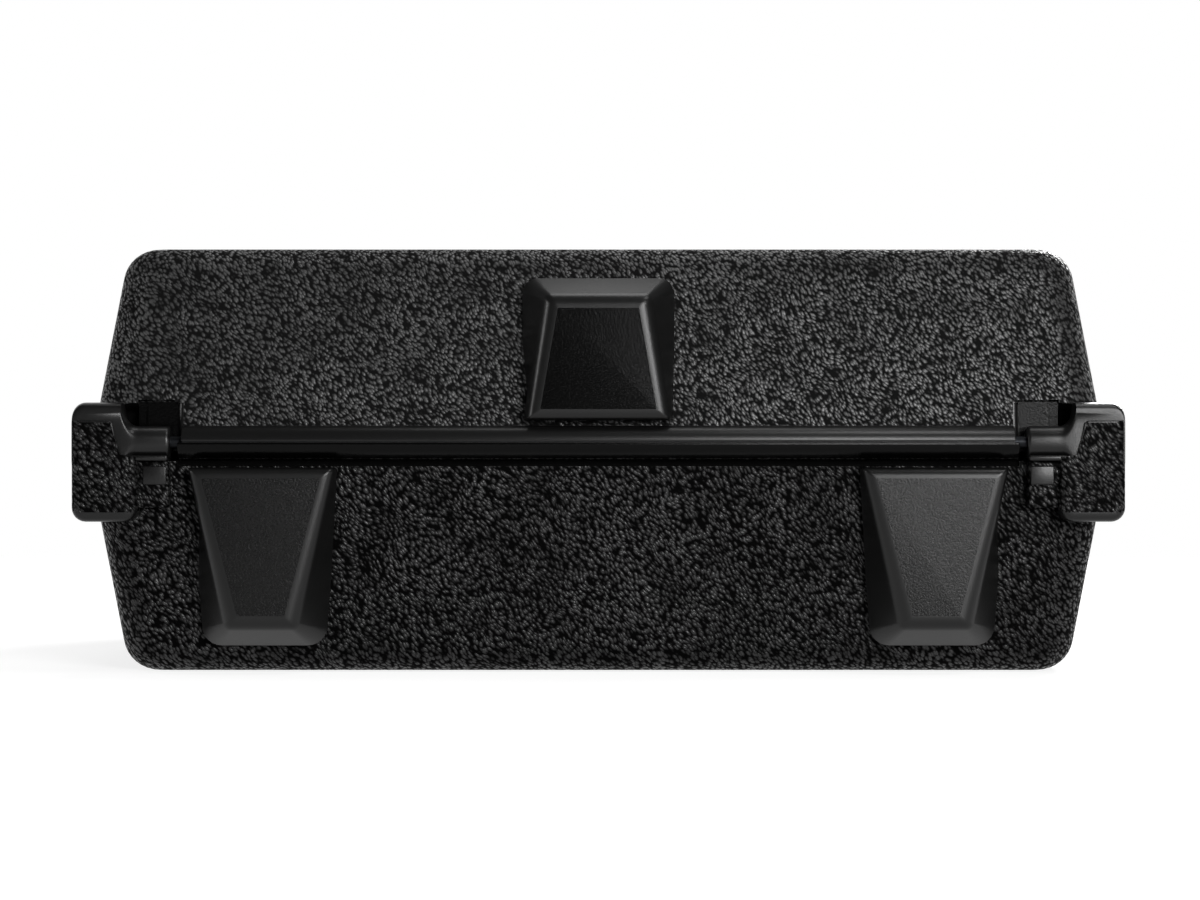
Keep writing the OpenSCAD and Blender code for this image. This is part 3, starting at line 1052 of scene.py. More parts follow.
    def blow_hole(self, z: float) -> Mesh:
        """Makes the bar that cuts a blowing hole into the front wall.

        Args:
            z: Height of the hole.

        Returns:
            A closed mesh.
        """
        outline = circle(0, z, self.blow_hole_d / 2, 36)
        front = self.depth / 2
        return loft([[Vector((x, y, up)) for x, up in outline] for y in (front - self.wall_pack, front + 1)])

    def seat(self, low: float, high: float) -> Mesh:
        """Returns a raised latch seat on the front wall, on the right.

        Args:
            low: Height of its lower end.
            high: Height of its upper end.

        Returns:
            The plate, bare and with round corners.
        """
        outline = rounded_rectangle(self.seat_w / 2, (high - low) / 2, self.seat_r)
        middle = (high + low) / 2
        rings = [
            [Vector((self.latch_x + x, y, middle + z)) for x, z in outline]
            for y in (self.wall_root, self.depth / 2 + self.seat_proud)
        ]
        return bare(soften(loft(rings), self.seat_edge_r))

    def lug(self, pivot: Point, r: float, x: float, width: float) -> Mesh:
        """Returns a lug on the front wall with a round end.

        Args:
            pivot: Y and Z of the pivot in its end.
            r: Radius of its end.
            x: Where its middle is.
            width: Its width.

        Returns:
            The lug, bare and with rounded edges.
        """
        y, z = pivot
        section = [(self.wall_root, z + r), (self.wall_root, z - r), *arc(y, z, r, -90, 90, 12)]
        return bare(soften(prism(section, x - width / 2, x + width / 2), self.lug_edge_r))


@dataclass(frozen=True)
class Foot:
    """A foot on the rear wall, whose one end is wide and square and whose other is narrow and slopes away."""

    x: float
    wide_w: float
    narrow_w: float
    root_wide_w: float
    root_narrow_w: float
    root_r: float
    slope_h: float = 5.25
    wide_r: float = 0.6
    narrow_r: float = 1.6
    edge_w: float = 2.7

    def ends(self, wide: Pair, narrow: Pair, narrow_r: float) -> list[Corner]:
        """Returns the corners of the face or of the root, from the upper end to the lower one.

        Args:
            wide: Width and height of the wide end.
            narrow: Width and height of the narrow end.
            narrow_r: Radius of the corners at the narrow end.

        Returns:
            The four corners as X, Z and radius.
        """
        ends = sorted(((*wide, self.wide_r), (*narrow, narrow_r)), key=lambda end: -end[1])
        corners = []
        for (width, z, r), sides in zip(ends, ((1, -1), (-1, 1))):
            corners += [(self.x + side * width / 2, z, r) for side in sides]
        return corners

    def mesh(self, form: CaseForm, wide_z: float, narrow_z: float) -> Mesh:
        """Builds the foot.

        Args:
            form: The case's sizes.
            wide_z: Height of its wide end.
            narrow_z: Height at which its narrow end meets the wall.

        Returns:
            A closed mesh with bare sides.
        """
        face_z = narrow_z + math.copysign(self.slope_h, wide_z - narrow_z)
        face = self.ends((self.wide_w, wide_z), (self.narrow_w, face_z), self.narrow_r)
        root = self.ends((self.root_wide_w, wide_z), (self.root_narrow_w, narrow_z), self.root_r)
        return raised(face, root, form.rest_y, -form.wall_root, self.edge_w, Finish.FACE)


@dataclass
class BaseShell:
    """The lower half of the case with its two rear feet, corner ears, knuckles, latch seats and lugs."""

    form: CaseForm
    palette: Palette
    lip_root: float = 2.0
    lip_chamfer: float = 0.5
    foot: Foot = Foot(x=84.5, wide_w=36.8, narrow_w=16.0, root_wide_w=38.0, root_narrow_w=31.0, root_r=5.0)
    foot_drop: float = 1.9
    foot_into_edge: float = 2.0
    ear_edge_w: float = 2.4
    # The grained panel of an ear, from the ear's start and from the parting plane
    panel_in: float = 4.6
    panel_lean: float = 1.7
    panel_rise: float = 9.9
    panel_shelf: float = 0.8
    panel_proud: float = 0.6
    panel_edge_w: float = 0.5
    panel_low_band: float = 2.6
    panel_corner_r: float = 0.4
    panel_crown_r: float = 1.2
    # The ridge beside it, upper and lower end, counted in the same way
    ridge: tuple[Point, Point] = ((6.4, 9.3), (4.8, 1.2))
    ridge_r: float = 0.3
    # The knuckle's end, and the turn in which it grows into the crown
    knuckle_edge_r: float = 0.9
    turn_in: float = 0.2
    turn_lead: float = 0.5
    turn_w: float = 3.9
    crown_in: float = 0.4
    crown_short: float = 0.15
    # Reach of the soft corner of the flattened front, and the share of it that the knuckle has
    edge_soft: float = 1.2
    least_soft: float = 0.25
    # Ledge, web and pad under the knuckle, from the hinge axis and from the knuckle's start
    ledge_in: float = 0.4
    ledge_run: float = 5.0
    ledge_out: float = 3.6
    ledge_drop: float = 4.7
    ledge_t: float = 1.4
    ledge_edge_r: float = 0.5
    web_in: float = 0.3
    web_run: float = 2.0
    web_out: float = 2.0
    web_depth: float = 9.5
    web_rise: float = 3.5
    web_edge_r: float = 0.8
    pad_in: float = 0.9
    pad_out: float = 2.35
    pad_drop: float = 6.0
    pad_size: Triple = (5.9, 1.35, 4.7)
    pad_edge_r: float = 0.3

    def body(self) -> Mesh:
        """Builds the drafted body with its cavity.

        Returns:
            A closed mesh, bare inside and at its rim.
        """
        f = self.form
        rim, t = f.rim_gap / 2, f.wall_pack
        outer = f.drafted(0, rim + f.rim_r, f.height / 2, f.draft, f.corner_r, f.edge_r, -1)
        inner = f.drafted(
            t, rim + f.rim_r, f.height / 2 - f.floor_pack, f.inner_draft, f.inner_corner_r, f.inner_edge_r, -1
        )
        face = f.ring(f.width / 2 - t, f.depth / 2 - t, f.inner_corner_r, rim, -1)
        shell = loft([*reversed(inner), face, *f.rim_edge(-1), *outer])
        relief = turned([(-f.notch_x, f.relief_r), (f.notch_x, f.relief_r)], f.axis, count=72)
        shell = combined(shell, relief, Cut.OUTSIDE)
        shell = combined(shell, f.blow_hole(f.part_z / 2), Cut.OUTSIDE)
        return paint(shell, Finish.BARE, lambda centre, normal: f.is_inside(centre) or f.is_relief(centre))

    def lip(self) -> Mesh:
        """Builds the locating lip, which leaves out the hinge side.

        Returns:
            A closed mesh.
        """
        f = self.form
        hx, hy = f.width / 2 - f.wall_pack, f.depth / 2 - f.wall_pack
        back = 2 * f.inner_corner_r - hy
        chamfer, inner = self.lip_chamfer, self.lip_chamfer - 2 * SLIP
        rows = []
        for grow, z in (
            (f.lip_t, -self.lip_root), (f.lip_t, f.lip_h - chamfer), (f.lip_t - chamfer, f.lip_h),
            (inner, f.lip_h), (SLIP, f.lip_h - inner), (SLIP, -self.lip_root),
        ):
            outline = rounded_rectangle(hx + grow, hy + grow, f.inner_corner_r + grow)
            path = [(hx + grow, back), *outline[: len(outline) // 2], (-hx - grow, back)]
            rows.append([Vector((x, y, f.part_z - f.rim_gap / 2 + z)) for x, y in path])
        return loft([[row[k] for row in rows] for k in range(len(rows[0]))])

    def ear_section(self) -> list[Point]:
        """Draws the section of an ear.

        Returns:
            The outline in Y and Z.
        """
        f = self.form
        y, z = f.axis
        r = f.ear_crown_r
        rim = f.part_z - f.rim_gap / 2
        first = math.degrees(math.asin((rim - z) / r))
        last = math.degrees(math.acos(-f.foot_reach / r))
        return [(f.rest_y, f.ear_low_z), (y + r, f.ear_low_z), (y + r, rim), *arc(y, z, r, first, last, 16)]

    def ear_block(self) -> Mesh:
        """Builds the right ear's block, with its round crown and round corners.

        Returns:
            A closed mesh, all bare.
        """
        f, past = self.form, 5
        low, high, r = f.ear_low_z, f.axis[1] + f.ear_crown_r, f.ear_r
        left, right = f.ear_x, f.ear_x + f.ear_w
        corners = [(right, high, r), (left, high, r), (left, low, r), (right, low, r)]
        root_y = f.axis[0] + f.ear_crown_r + 1
        solid = raised(corners, corners, f.rest_y, root_y, self.ear_edge_w, Finish.BARE)
        return combined(solid, prism(self.ear_section(), left - past, right + past), Cut.COMMON)

    def ear(self) -> list[Mesh]:
        """Builds the right ear's grained panel, which stands proud of the crown, and the ridge beside it.

        Returns:
            The two meshes.
        """
        f, past, far_r = self.form, 6, 1
        left, right, low = f.ear_x - past, f.ear_x + f.ear_w + past, f.ear_low_z - past
        inner = f.ear_x + self.panel_in
        shelf, top = f.part_z + self.panel_shelf, f.part_z + self.panel_rise
        region = [
            (inner, shelf, self.panel_corner_r), (left, shelf, self.panel_corner_r), (left, low, far_r),
            (right, low, far_r), (right, top, far_r), (inner + self.panel_lean, top, self.panel_crown_r),
        ]
        root_y = f.axis[0] + f.ear_crown_r + 2
        cut = raised(region, region, f.rest_y, root_y, self.panel_edge_w, Finish.GRAIN)
        panel = paint(combined(self.ear_block(), cut, Cut.COMMON), Finish.GRAIN)
        band, crown = f.ear_low_z + self.panel_low_band, top - self.panel_edge_w
        edge = inner + self.panel_lean + 2 * NEAR
        paint(panel, Finish.BARE, lambda centre, normal: centre.z < band or centre.z > crown)
        paint(panel, Finish.BARE, lambda centre, normal: (
            centre.x < edge and centre.z > shelf + 2 * NEAR and normal.x < -NEAR
        ))
        ends = [Vector((f.ear_x + x, f.rest_y + self.ridge_r, f.part_z + z)) for x, z in self.ridge]
        return [panel, bare(tube(ends, self.ridge_r, 12))]

    def elbow(self) -> Mesh:
        """Builds the right knuckle, a cylinder whose far end grows into the ear's crown.

        Returns:
            A closed mesh.
        """
        f = self.form
        y, z = f.axis
        r, x0, full = f.knuckle_d / 2, f.knuckle_x, f.ear_crown_r - SLIP
        face_y = f.rest_y + self.panel_proud + SLIP
        edge, turn_x = self.knuckle_edge_r, f.ear_x + self.turn_in
        stations = [*arc(x0 + edge, r - edge, edge, 180, 90, 3), (turn_x - self.turn_lead, r)]
        turn_steps = 12
        for k in range(1, turn_steps + 1):
            a = math.pi / 2 * k / turn_steps
            stations.append((turn_x + self.turn_w * math.sin(a), r + (full - r) * (1 - math.cos(a))))
        end_x, round_r = f.ear_x + f.ear_w - self.crown_short, f.ear_r - self.crown_in
        stations += arc(end_x - round_r, full - round_r, round_r, 90, 0, 8)
        rings = []
        for x, radius in stations:
            # The flattened front is drawn with a soft corner, which grows with the radius.
            grown = max(radius - r, 0) / (full - r)
            soft = self.edge_soft * (self.least_soft + (1 - self.least_soft) * grown)
            ring = []
            for spot_y, spot_z in circle(y, z, radius, 96):
                gap = spot_y - face_y
                ring.append(Vector((x, face_y + (gap + math.hypot(gap, soft)) / 2, spot_z)))
            rings.append(ring)
        return loft(rings)

    def knuckle(self) -> list[Mesh]:
        """Builds the right knuckle with its ledge, its web and the pad on it.

        Returns:
            The four meshes.
        """
        f = self.form
        y, z = f.axis
        x0, back, under = f.knuckle_x, y + self.web_depth, z - self.ledge_drop
        ledge = block(
            (x0 + self.ledge_in, f.ear_x + self.ledge_run), (y - self.ledge_out, back),
            (under, under + self.ledge_t),
        )
        web = block(
            (x0 + self.web_in, f.ear_x + self.web_run), (y - self.web_out, back),
            (f.ear_low_z + self.web_rise, under),
        )
        pad_w, pad_t, pad_h = self.pad_size
        pad_x, pad_y, pad_z = x0 + self.pad_in, y - self.pad_out, z - self.pad_drop - pad_h
        pad = block((pad_x, pad_x + pad_w), (pad_y, pad_y + pad_t), (pad_z, pad_z + pad_h))
        return [
            bare(self.elbow()), bare(soften(ledge, self.ledge_edge_r)), soften(web, self.web_edge_r),
            bare(soften(pad, self.pad_edge_r)),
        ]

    def seats(self) -> list[Mesh]:
        """Builds the raised seat and the lugs of latch and handle, on the right.

        Returns:
            The three meshes.
        """
        f = self.form
        rim = f.part_z - f.rim_gap / 2
        return [
            f.seat(rim - f.height / 2 + f.edge_r, rim),
            f.lug(f.latch_pivot, f.lever_r, f.latch_x, f.latch_lug_w),
            f.lug(f.handle_pivot, f.eye_r, f.handle_x, f.handle_lug_t),
        ]

    def build(self) -> None:
        """Builds the base shell and puts it on its body."""
        f = self.form
        finishes = [self.palette.grained_base, self.palette.bare, self.palette.foot_face]
        foot = self.foot.mesh(f, f.part_z - self.foot_drop, f.edge_r - self.foot_into_edge)
        right = [foot, *self.ear(), *self.knuckle(), *self.seats()]
        made = as_object("base_moulding", [self.body(), self.lip(), *right, *map(mirrored, right)], finishes)
        place(made, "base", "case_plastic", "base_shell")


@dataclass
class LidShell:
    """The upper half of the case with the long hinge barrel, the centre foot and the latch catches."""

    form: CaseForm
    palette: Palette
    foot: Foot = Foot(x=0.0, wide_w=35.5, narrow_w=24.8, root_wide_w=38.5, root_narrow_w=38.5, root_r=4.0)
    foot_rise: float = 10.0
    foot_into_edge: float = 1.0
    seat_h: float = 16.0
    # The notch, whose back wall lies nearer beside the knuckle than under the crown
    notch_round: float = 1.3
    pocket_w: float = 10.2
    pocket_y: float = 5.3
    pocket_low: float = 2.4
    pocket_edge: float = 0.6
    cut_back: float = 60.0
    cut_down: float = 20.0
    # The barrel's halves, of which the lower one is longer and slimmer, and the core that shows between them
    seam: float = 0.12
    lower_step: float = 0.2
    core_step: float = 0.7
    upper_short: float = 1.0
    core_short: float = 1.2
    barrel_edge_r: float = 0.35
    # The catch, with its groove for the bail's bar
    catch_w: float = 20.0
    catch_t: float = 1.6
    catch_lip: float = 1.8
    catch_room: float = 1.5
    catch_gap: float = 0.2
    catch_low: float = 2.2
    catch_run: float = 3.0
    catch_slope: float = 2.6
    catch_wall: float = 2.9
    catch_top: float = 4.5
    catch_edge_r: float = 0.25

    def outer(self, inside: float) -> list[list[Vector]]:
        """Returns the rings of the outside, or of a block a little inside it."""
        f, low = self.form, self.form.rim_gap / 2 + self.form.rim_r
        return f.drafted(inside, low, f.height / 2 - inside, f.draft, f.corner_r, f.edge_r, 1)

    def body(self) -> Mesh:
        """Builds the drafted body with its cavity and the groove for the base's lip.

        Returns:
            A closed mesh.
        """
        f = self.form
        rim = f.rim_gap / 2
        deep, wide = rim + f.lip_h + f.lip_gap, f.lip_t + f.lip_gap
        hx, hy = f.width / 2 - f.wall_pack + wide, f.depth / 2 - f.wall_pack + wide
        inner = f.drafted(
            f.wall_pack, deep, f.height / 2 - f.floor_pack, f.inner_draft, f.inner_corner_r, f.inner_edge_r, 1
        )
        groove = [f.ring(hx, hy, f.inner_corner_r + wide, up, 1) for up in (deep, rim)]
        return loft([*reversed(inner), *groove, *f.rim_edge(1), *self.outer(0)])

    def wedge(self, side: Side, r: float, near: float, far: float) -> Mesh:
        """Returns the space that an ear sweeps.

        Args:
            side: The ear's side.
            r: Radius of the space round the hinge axis.
            near: Distance of its inner end from the case's middle.
            far: Distance of its outer end.

        Returns:
            A closed mesh.
        """
        y, z = self.form.axis
        low, back = self.form.part_z - self.cut_down, y - self.cut_back
        section = [(back, low), (y + r, low), (y + r, z), *arc(y, z, r, 0, 90, 16), (back, z + r)]
        return side_prism(section, side, near, far)

    def shallow(self, side: Side, r: float) -> Mesh:
        """Makes the cutter of the notch beside the knuckle.

        Args:
            side: The notch's side.
            r: Radius of the notch.

        Returns:
            A closed mesh.
        """
        f = self.form
        y, z = f.axis
        low, back, top = f.part_z - self.cut_down, y - self.cut_back, z + r
        wall, shelf, edge = y + self.pocket_y, z - self.pocket_low, self.pocket_edge
        section = [
            (back, low), (y + r, low), (y + r, shelf), (wall, shelf), (wall, top - edge), (wall - edge, top),
            (back, top),
        ]
        return side_prism(section, side, f.notch_x, f.notch_x + self.pocket_w + NEAR)

    def notch(self, bm: Mesh, side: Side, r: float) -> Mesh:
        """Cuts both depths of a notch, under the crown and beside the knuckle.

        Args:
            bm: The solid, which is used up.
            side: The notch's side.
            r: Radius of the notch.

        Returns:
            The new solid.
        """
        deep = self.wedge(side, r, self.form.notch_x + self.pocket_w, self.form.width)
        return combined(combined(bm, deep, Cut.OUTSIDE), self.shallow(side, r), Cut.OUTSIDE)

    def rounding(self, side: Side, r: float, steps: int = 8) -> Mesh:
        """Returns the cutter that rounds the notch's upright edge in the rear wall.

        Args:
            side: The notch's side.
            r: Radius of the notch.
            steps: Steps across the rounding.

        Returns:
            A closed mesh.
        """
        f, c = self.form, self.notch_round
        top, low = f.axis[1] + r, f.part_z - 1
        lean = math.tan(math.radians(f.draft))
        rings = []
        for k in range(steps + 1):
            t = math.pi / 2 * k / steps
            low_y = -f.depth / 2 + c * (1 - math.cos(t)) - NEAR / 10
            spots = [(-f.depth, low), (low_y, low), (low_y + lean * (top - f.part_z), top), (-f.depth, top)]
            x = side.value * (f.notch_x - c * (1 - math.sin(t)))
            rings.append([Vector((x, y, z)) for y, z in spots])
        return combined(loft(rings), self.wedge(side, r, f.notch_x - c - 1, f.notch_x + 1), Cut.COMMON)

    def notched(self) -> list[Mesh]:
        """Builds the body with its two hinge notches, and the walls round them.

        Returns:
            The body and the two walls.
        """
        f = self.form
        r = f.ear_crown_r + f.ear_gap
        body = combined(self.body(), f.blow_hole(f.part_z * 1.5), Cut.OUTSIDE)
        walls = []
        for side in Side:
            swept = self.wedge(side, r + f.skin, f.notch_x + self.pocket_w - f.skin, f.width)
            wall = combined(loft(self.outer(SLIP)), swept, Cut.COMMON)
            walls.append(bare(self.notch(wall, side, r)))
            body = combined(self.notch(body, side, r), self.rounding(side, r), Cut.OUTSIDE)
        y, z = f.axis
        edge, reach = f.notch_x - self.notch_round - NEAR, r + NEAR
        paint(body, Finish.BARE, lambda centre, normal: f.is_inside(centre) or (
            abs(centre.x) > edge and math.hypot(centre.y - y, centre.z - z) < reach and centre.z < z + reach
        ))
        # The notch's back wall gets the lid's darkest finish as painted shade.
        paint(body, Finish.FACE, lambda centre, normal: (
            abs(centre.x) > edge and abs(centre.y - y - self.pocket_y) < NEAR and abs(normal.y) > SQUARE
        ))
        return [body, *walls]

    def barrel(self) -> list[Mesh]:
        """Builds the hinge barrel as its two moulded halves, with a core in the seam between them.

        Returns:
            The three meshes.
        """
        f = self.form
        (y, z), r, half, edge_r = f.axis, f.barrel_d / 2, f.barrel_half, self.barrel_edge_r
        upper_x, core_x = half - self.upper_short, half - self.core_short
        upper = prism(arc(y, z + self.seam, r - self.seam, 0, 180, 20), -upper_x, upper_x)
        lower = prism(arc(y, z - self.seam, r - self.lower_step, 180, 360, 20), -half, half)
        core = prism(circle(y, z, r - self.core_step, 24), -core_x, core_x)
        # The lower half gets the lid's darkest finish as painted shade.
        return [bare(soften(upper, edge_r, 2)), paint(soften(lower, edge_r, 2), Finish.FACE), bare(core)]

    def catch(self) -> Mesh:
        """Builds the right catch, a nose with a groove for the bail's bar.

        Returns:
            A closed mesh.
        """
        f = self.form
        root, low, bar = f.wall_root, f.part_z + self.catch_low, f.depth / 2 + f.bar_stand
        groove = f.part_z + f.bar_rise - f.wire_r - self.catch_gap
        inner, back = bar + f.wire_r + self.catch_room, bar - self.catch_room
        tip = inner + self.catch_t
        section = [
            (root, low), (f.depth / 2 + self.catch_run, low), (tip, groove - self.catch_slope),
            (tip, groove + self.catch_lip), (inner, groove + self.catch_lip), (inner, groove), (back, groove),
            (back, groove + self.catch_wall), (root, groove + self.catch_top),
        ]
        half = self.catch_w / 2
        return bare(soften(prism(section, f.latch_x - half, f.latch_x + half), self.catch_edge_r, 2))

    def build(self) -> None:
        """Builds the lid shell and puts it on its body."""
        f = self.form
        low = f.part_z + f.rim_gap / 2
        finishes = [self.palette.grained_lid, self.palette.bare, self.palette.lid_foot_face]
        foot = self.foot.mesh(f, f.part_z + self.foot_rise, f.height - f.edge_r + self.foot_into_edge)
        right = [f.seat(low, low + self.seat_h), self.catch()]
        parts = [*self.notched(), foot, *self.barrel(), *right, *map(mirrored, right)]
        place(as_object("lid_moulding", parts, finishes), "lid", "case_plastic", "lid_shell")


@dataclass
class FoamSet:
    """The foam inside the case: a flat pad, a die-cut insert and the convoluted lid foam."""

    form: CaseForm
    palette: Palette
    gap: float = 0.5
    pad_t: float = 8.0
    drop: float = 5.0
    web: float = 16.0
    # Length and width of the microphone's pocket, and diameter of the round one for its head
    mic: Triple = (184.0, 38.0, 58.0)
    tray: Pair = (92.0, 74.2)
    clip: Pair = (76.0, 54.0)
    pocket_r: float = 8.0
    pad_edge_r: float = 0.6
    cut_under: float = 5.0
    cut_over: float = 20.0
    # The lid's foam hangs in rows of peaks, on a grid fine enough for round ones.
    lid_rise: float = 9.0
    peak_pitch: float = 29.6
    peak_depth: float = 14.0
    cells_x: int = 120
    cells_y: int = 90

    @property
    def insert_z(self) -> float:
        """Height of the insert's underside."""
        return self.form.floor_pack + self.pad_t + 2 * self.gap

    def slab(self, low: float, high: float) -> Mesh:
        """Builds a slab of foam that fills the base between two heights.

        Args:
            low: Height of its underside.
            high: Height of its top.

        Returns:
            A closed mesh.
        """
        f, gap = self.form, self.gap
        return loft(f.drafted(
            f.wall_pack + gap, f.part_z - high, f.part_z - low, f.inner_draft, f.inner_corner_r - gap,
            f.inner_edge_r / 2, -1, 4,
        ))

    def cutter(self, outline: Sequence[Point], x: float, y: float) -> Mesh:
        """Returns the cutter of a pocket, which goes right through the insert.

        Args:
            outline: The pocket's outline round its middle.
            x: X of its middle.
            y: Y of its middle.

        Returns:
            A closed mesh.
        """
        heights = (self.insert_z - self.cut_under, self.form.part_z + self.cut_over)
        return loft([[Vector((x + a, y + b, z)) for a, b in outline] for z in heights])

    def insert(self) -> Mesh:
        """Builds the insert with its pockets.

        Returns:
            A closed mesh.
        """
        f = self.form
        low = self.insert_z
        half_y = f.depth / 2 - f.wall_pack - math.tan(math.radians(f.inner_draft)) * (f.part_z - low)
        length, wide, head = self.mic
        mic_y = -half_y + self.web + head / 2
        row_y = mic_y + head / 2 + self.web + self.tray[1] / 2
        bm = self.slab(low, f.part_z - self.drop)
        pockets = [
            self.cutter(rounded_rectangle(w / 2, d / 2, self.pocket_r, 6), x, y) for (w, d), x, y in (
                ((length, wide), 0, mic_y), (self.tray, -(self.web + self.tray[0]) / 2, row_y),
                (self.clip, (self.web + self.clip[0]) / 2, row_y),
            )
        ]
        pockets.insert(1, self.cutter(circle(0, 0, head / 2, 72), (length - head) / 2, mic_y))
        for pocket in pockets:
            bm = combined(bm, pocket, Cut.OUTSIDE)
        return bm

    def lid_foam(self) -> Mesh:
        """Builds the convoluted foam: rows of rounded peaks that hang from the lid.

        Returns:
            A closed mesh.
        """
        f, nx, ny = self.form, self.cells_x, self.cells_y
        low, high = f.part_z + self.lid_rise, f.height - f.floor_pack - self.gap
        slope = math.tan(math.radians(f.inner_draft))
        inset_by = f.wall_pack + self.gap + slope * self.lid_rise
        hx, hy = f.width / 2 - inset_by, f.depth / 2 - inset_by
        turn = 2 * math.pi / self.peak_pitch
        bm = bmesh.new()
        rows = []
        for j in range(ny + 1):
            y = hy * (2 * j / ny - 1)
            row = []
            for i in range(nx + 1):
                x = hx * (2 * i / nx - 1)
                hang = 0.5 - 0.5 * math.cos(turn * x) * math.cos(turn * y)
                row.append(bm.verts.new((x, y, low + self.peak_depth * hang)))
            rows.append(row)
        for a, b in zip(rows, rows[1:]):
            for k in range(nx):
                bm.faces.new((a[k], b[k], b[k + 1], a[k + 1]))
        rim = [*rows[0], *(row[-1] for row in rows[1:]), *reversed(rows[-1][:-1])]
        rim += [row[0] for row in reversed(rows[1:-1])]
        taper = 1 - slope * (high - low) / hy
        top = [bm.verts.new((v.co.x * taper, v.co.y * taper, high)) for v in rim]
        for k in range(len(rim)):
            n = (k + 1) % len(rim)
            bm.faces.new((rim[k], rim[n], top[n], top[k]))
        bm.faces.new(top)
        bmesh.ops.recalc_face_normals(bm, faces=bm.faces)
        return bm

    def build(self) -> None:
        """Builds the three foams and puts them on their bodies."""
        low = self.form.floor_pack + self.gap
        pad = soften(self.slab(low, low + self.pad_t), self.pad_edge_r, 2)
        for name, foam, body, node in (
            ("foam_pad", pad, "base", "base_foam_pad"),
            ("foam_insert", self.insert(), "base", "base_foam_insert"),
            ("foam_convoluted", self.lid_foam(), "lid", "lid_foam"),
        ):
            made = as_object(name, [foam], [self.palette.foam])
            place(made, body, "foam", node)


@dataclass
class DrawLatch:
    """A draw latch: a moulded lever with side rails and finger ribs, its pin and the wire bail."""

    form: CaseForm
    palette: Palette
    side: Side
    width: float = 24.0
    length: float = 25.0
    crank_r: float = 6.0
    crank_lean: float = 8.0
    boss_t: float = 1.75
    rail_h: float = 0.7
    rib_r: float = 0.75
    rib_sunk: float = 0.45
    rib_pitch: float = 1.7
    ribs: int = 4
    bend: float = 1.3
    tail: float = 1.0
    wire_play: float = 0.02
    cheek_edge_r: float = 0.5
    plate_edge_r: float = 0.3
    plate_into: float = 0.4
    # The lever's outline below its pivot, out in shares of its barrel's radius and down in shares of its
    # length. The last three points are its outer face.
    plate: tuple[Point, ...] = (
        (-1.0, 0.32), (-0.94, 0.72), (-0.61, 0.88), (0.5, 1.0), (1.17, 0.98), (0.5, 0.85), (0.25, 0.68),
        (0.61, 0.32),
    )
    plate_outer: int = 3
    # Where the first rib lies, in the same shares
    rib_at: Pair = (0.38, 0.62)

    @property
    def crank(self) -> Point:
        """Y and Z of the bail's pivot."""
        (y, z), lean = self.form.latch_pivot, math.radians(self.crank_lean)
        return (y - self.crank_r * math.sin(lean), z - self.crank_r * math.cos(lean))

    def plate_section(self, thinner: float) -> list[Point]:
        """Draws the section of the lever below its pivot.

        Args:
            thinner: How far its outer face lies inside that of the side rails.

        Returns:
            The outline in Y and Z.
        """
        (y, z), r = self.form.latch_pivot, self.form.lever_r
        steps = [0.0] * (len(self.plate) - self.plate_outer) + [thinner] * self.plate_outer
        return [(y + out * r - step, z - down * self.length) for (out, down), step in zip(self.plate, steps)]

    def lever(self) -> list[Mesh]:
        """Builds the lever: two railed cheeks, the plate between them and the ribs on it.

        Returns:
            Its meshes.
        """
        f = self.form
        (y, z), r, (crank_y, crank_z) = f.latch_pivot, f.lever_r, self.crank
        x, half, slot = f.latch_x, self.width / 2, f.latch_lug_w / 2 + f.side_gap
        boss = (crank_y - f.wire_r - self.boss_t, crank_z)
        cheek = [*arc(y, z, r, 180, 0, 14), *reversed(self.plate_section(0)), boss]
        into = slot + self.plate_into
        cheeks = ((x - half, x - slot), (x + slot, x + half))
        parts = [soften(prism(cheek, *xs), self.cheek_edge_r) for xs in cheeks]
        parts.append(soften(prism(self.plate_section(self.rail_h), x - into, x + into), self.plate_edge_r))
        rib_y, first_z = y + self.rib_at[0] * r - self.rib_sunk, z - self.rib_at[1] * self.length
        for k in range(self.ribs):
            ends = [Vector((x + end, rib_y, first_z - k * self.rib_pitch)) for end in (-slot, slot)]
            parts.append(tube(ends, self.rib_r, 16))
        return parts

    def bail(self) -> Mesh:
        """Bends the bail from one wire, from tail to tail.

        Returns:
            A closed mesh.
        """
        f = self.form
        cy, cz = self.crank
        by, bz = f.depth / 2 + f.bar_stand, f.part_z + f.bar_rise
        x, leg = f.latch_x, self.width / 2 + f.side_gap + f.wire_r
        tail = f.latch_lug_w / 2 + self.tail
        spots = [(-tail, cy, cz), (-leg, cy, cz), (-leg, by, bz)]
        spots += [(-a, b, c) for a, b, c in reversed(spots)]
        path = bent([Vector((x + a, b, c)) for a, b, c in spots], self.bend)
        return tube(path, f.wire_r - self.wire_play)

    def put(self, body: str, made_of: str, parts: list[Mesh], material: Material, slot: str) -> None:
        """Makes one piece of the latch on its own side and puts it on its body.

        Args:
            body: The body, whose name the piece and the node share.
            made_of: How the piece's name ends.
            parts: Its meshes, drawn for the right side.
            material: Its finish.
            slot: The record's material slot.
        """
        if self.side is Side.LEFT:
            parts = [mirrored(bm) for bm in parts]
        place(as_object(f"{body}_{made_of}", parts, [material]), body, slot, f"latch_{body}")

    def build(self) -> None:
        """Builds lever and bail on their bodies and dresses the pin."""
        name = self.side.name.lower()
        self.put(f"lever_{name}", "moulded", self.lever(), self.palette.nylon, "latch_plastic")
        self.put(f"bail_{name}", "wire", [self.bail()], self.palette.steel, "bail_wire")
        dress(f"latch_pin_{name}", self.palette.steel)


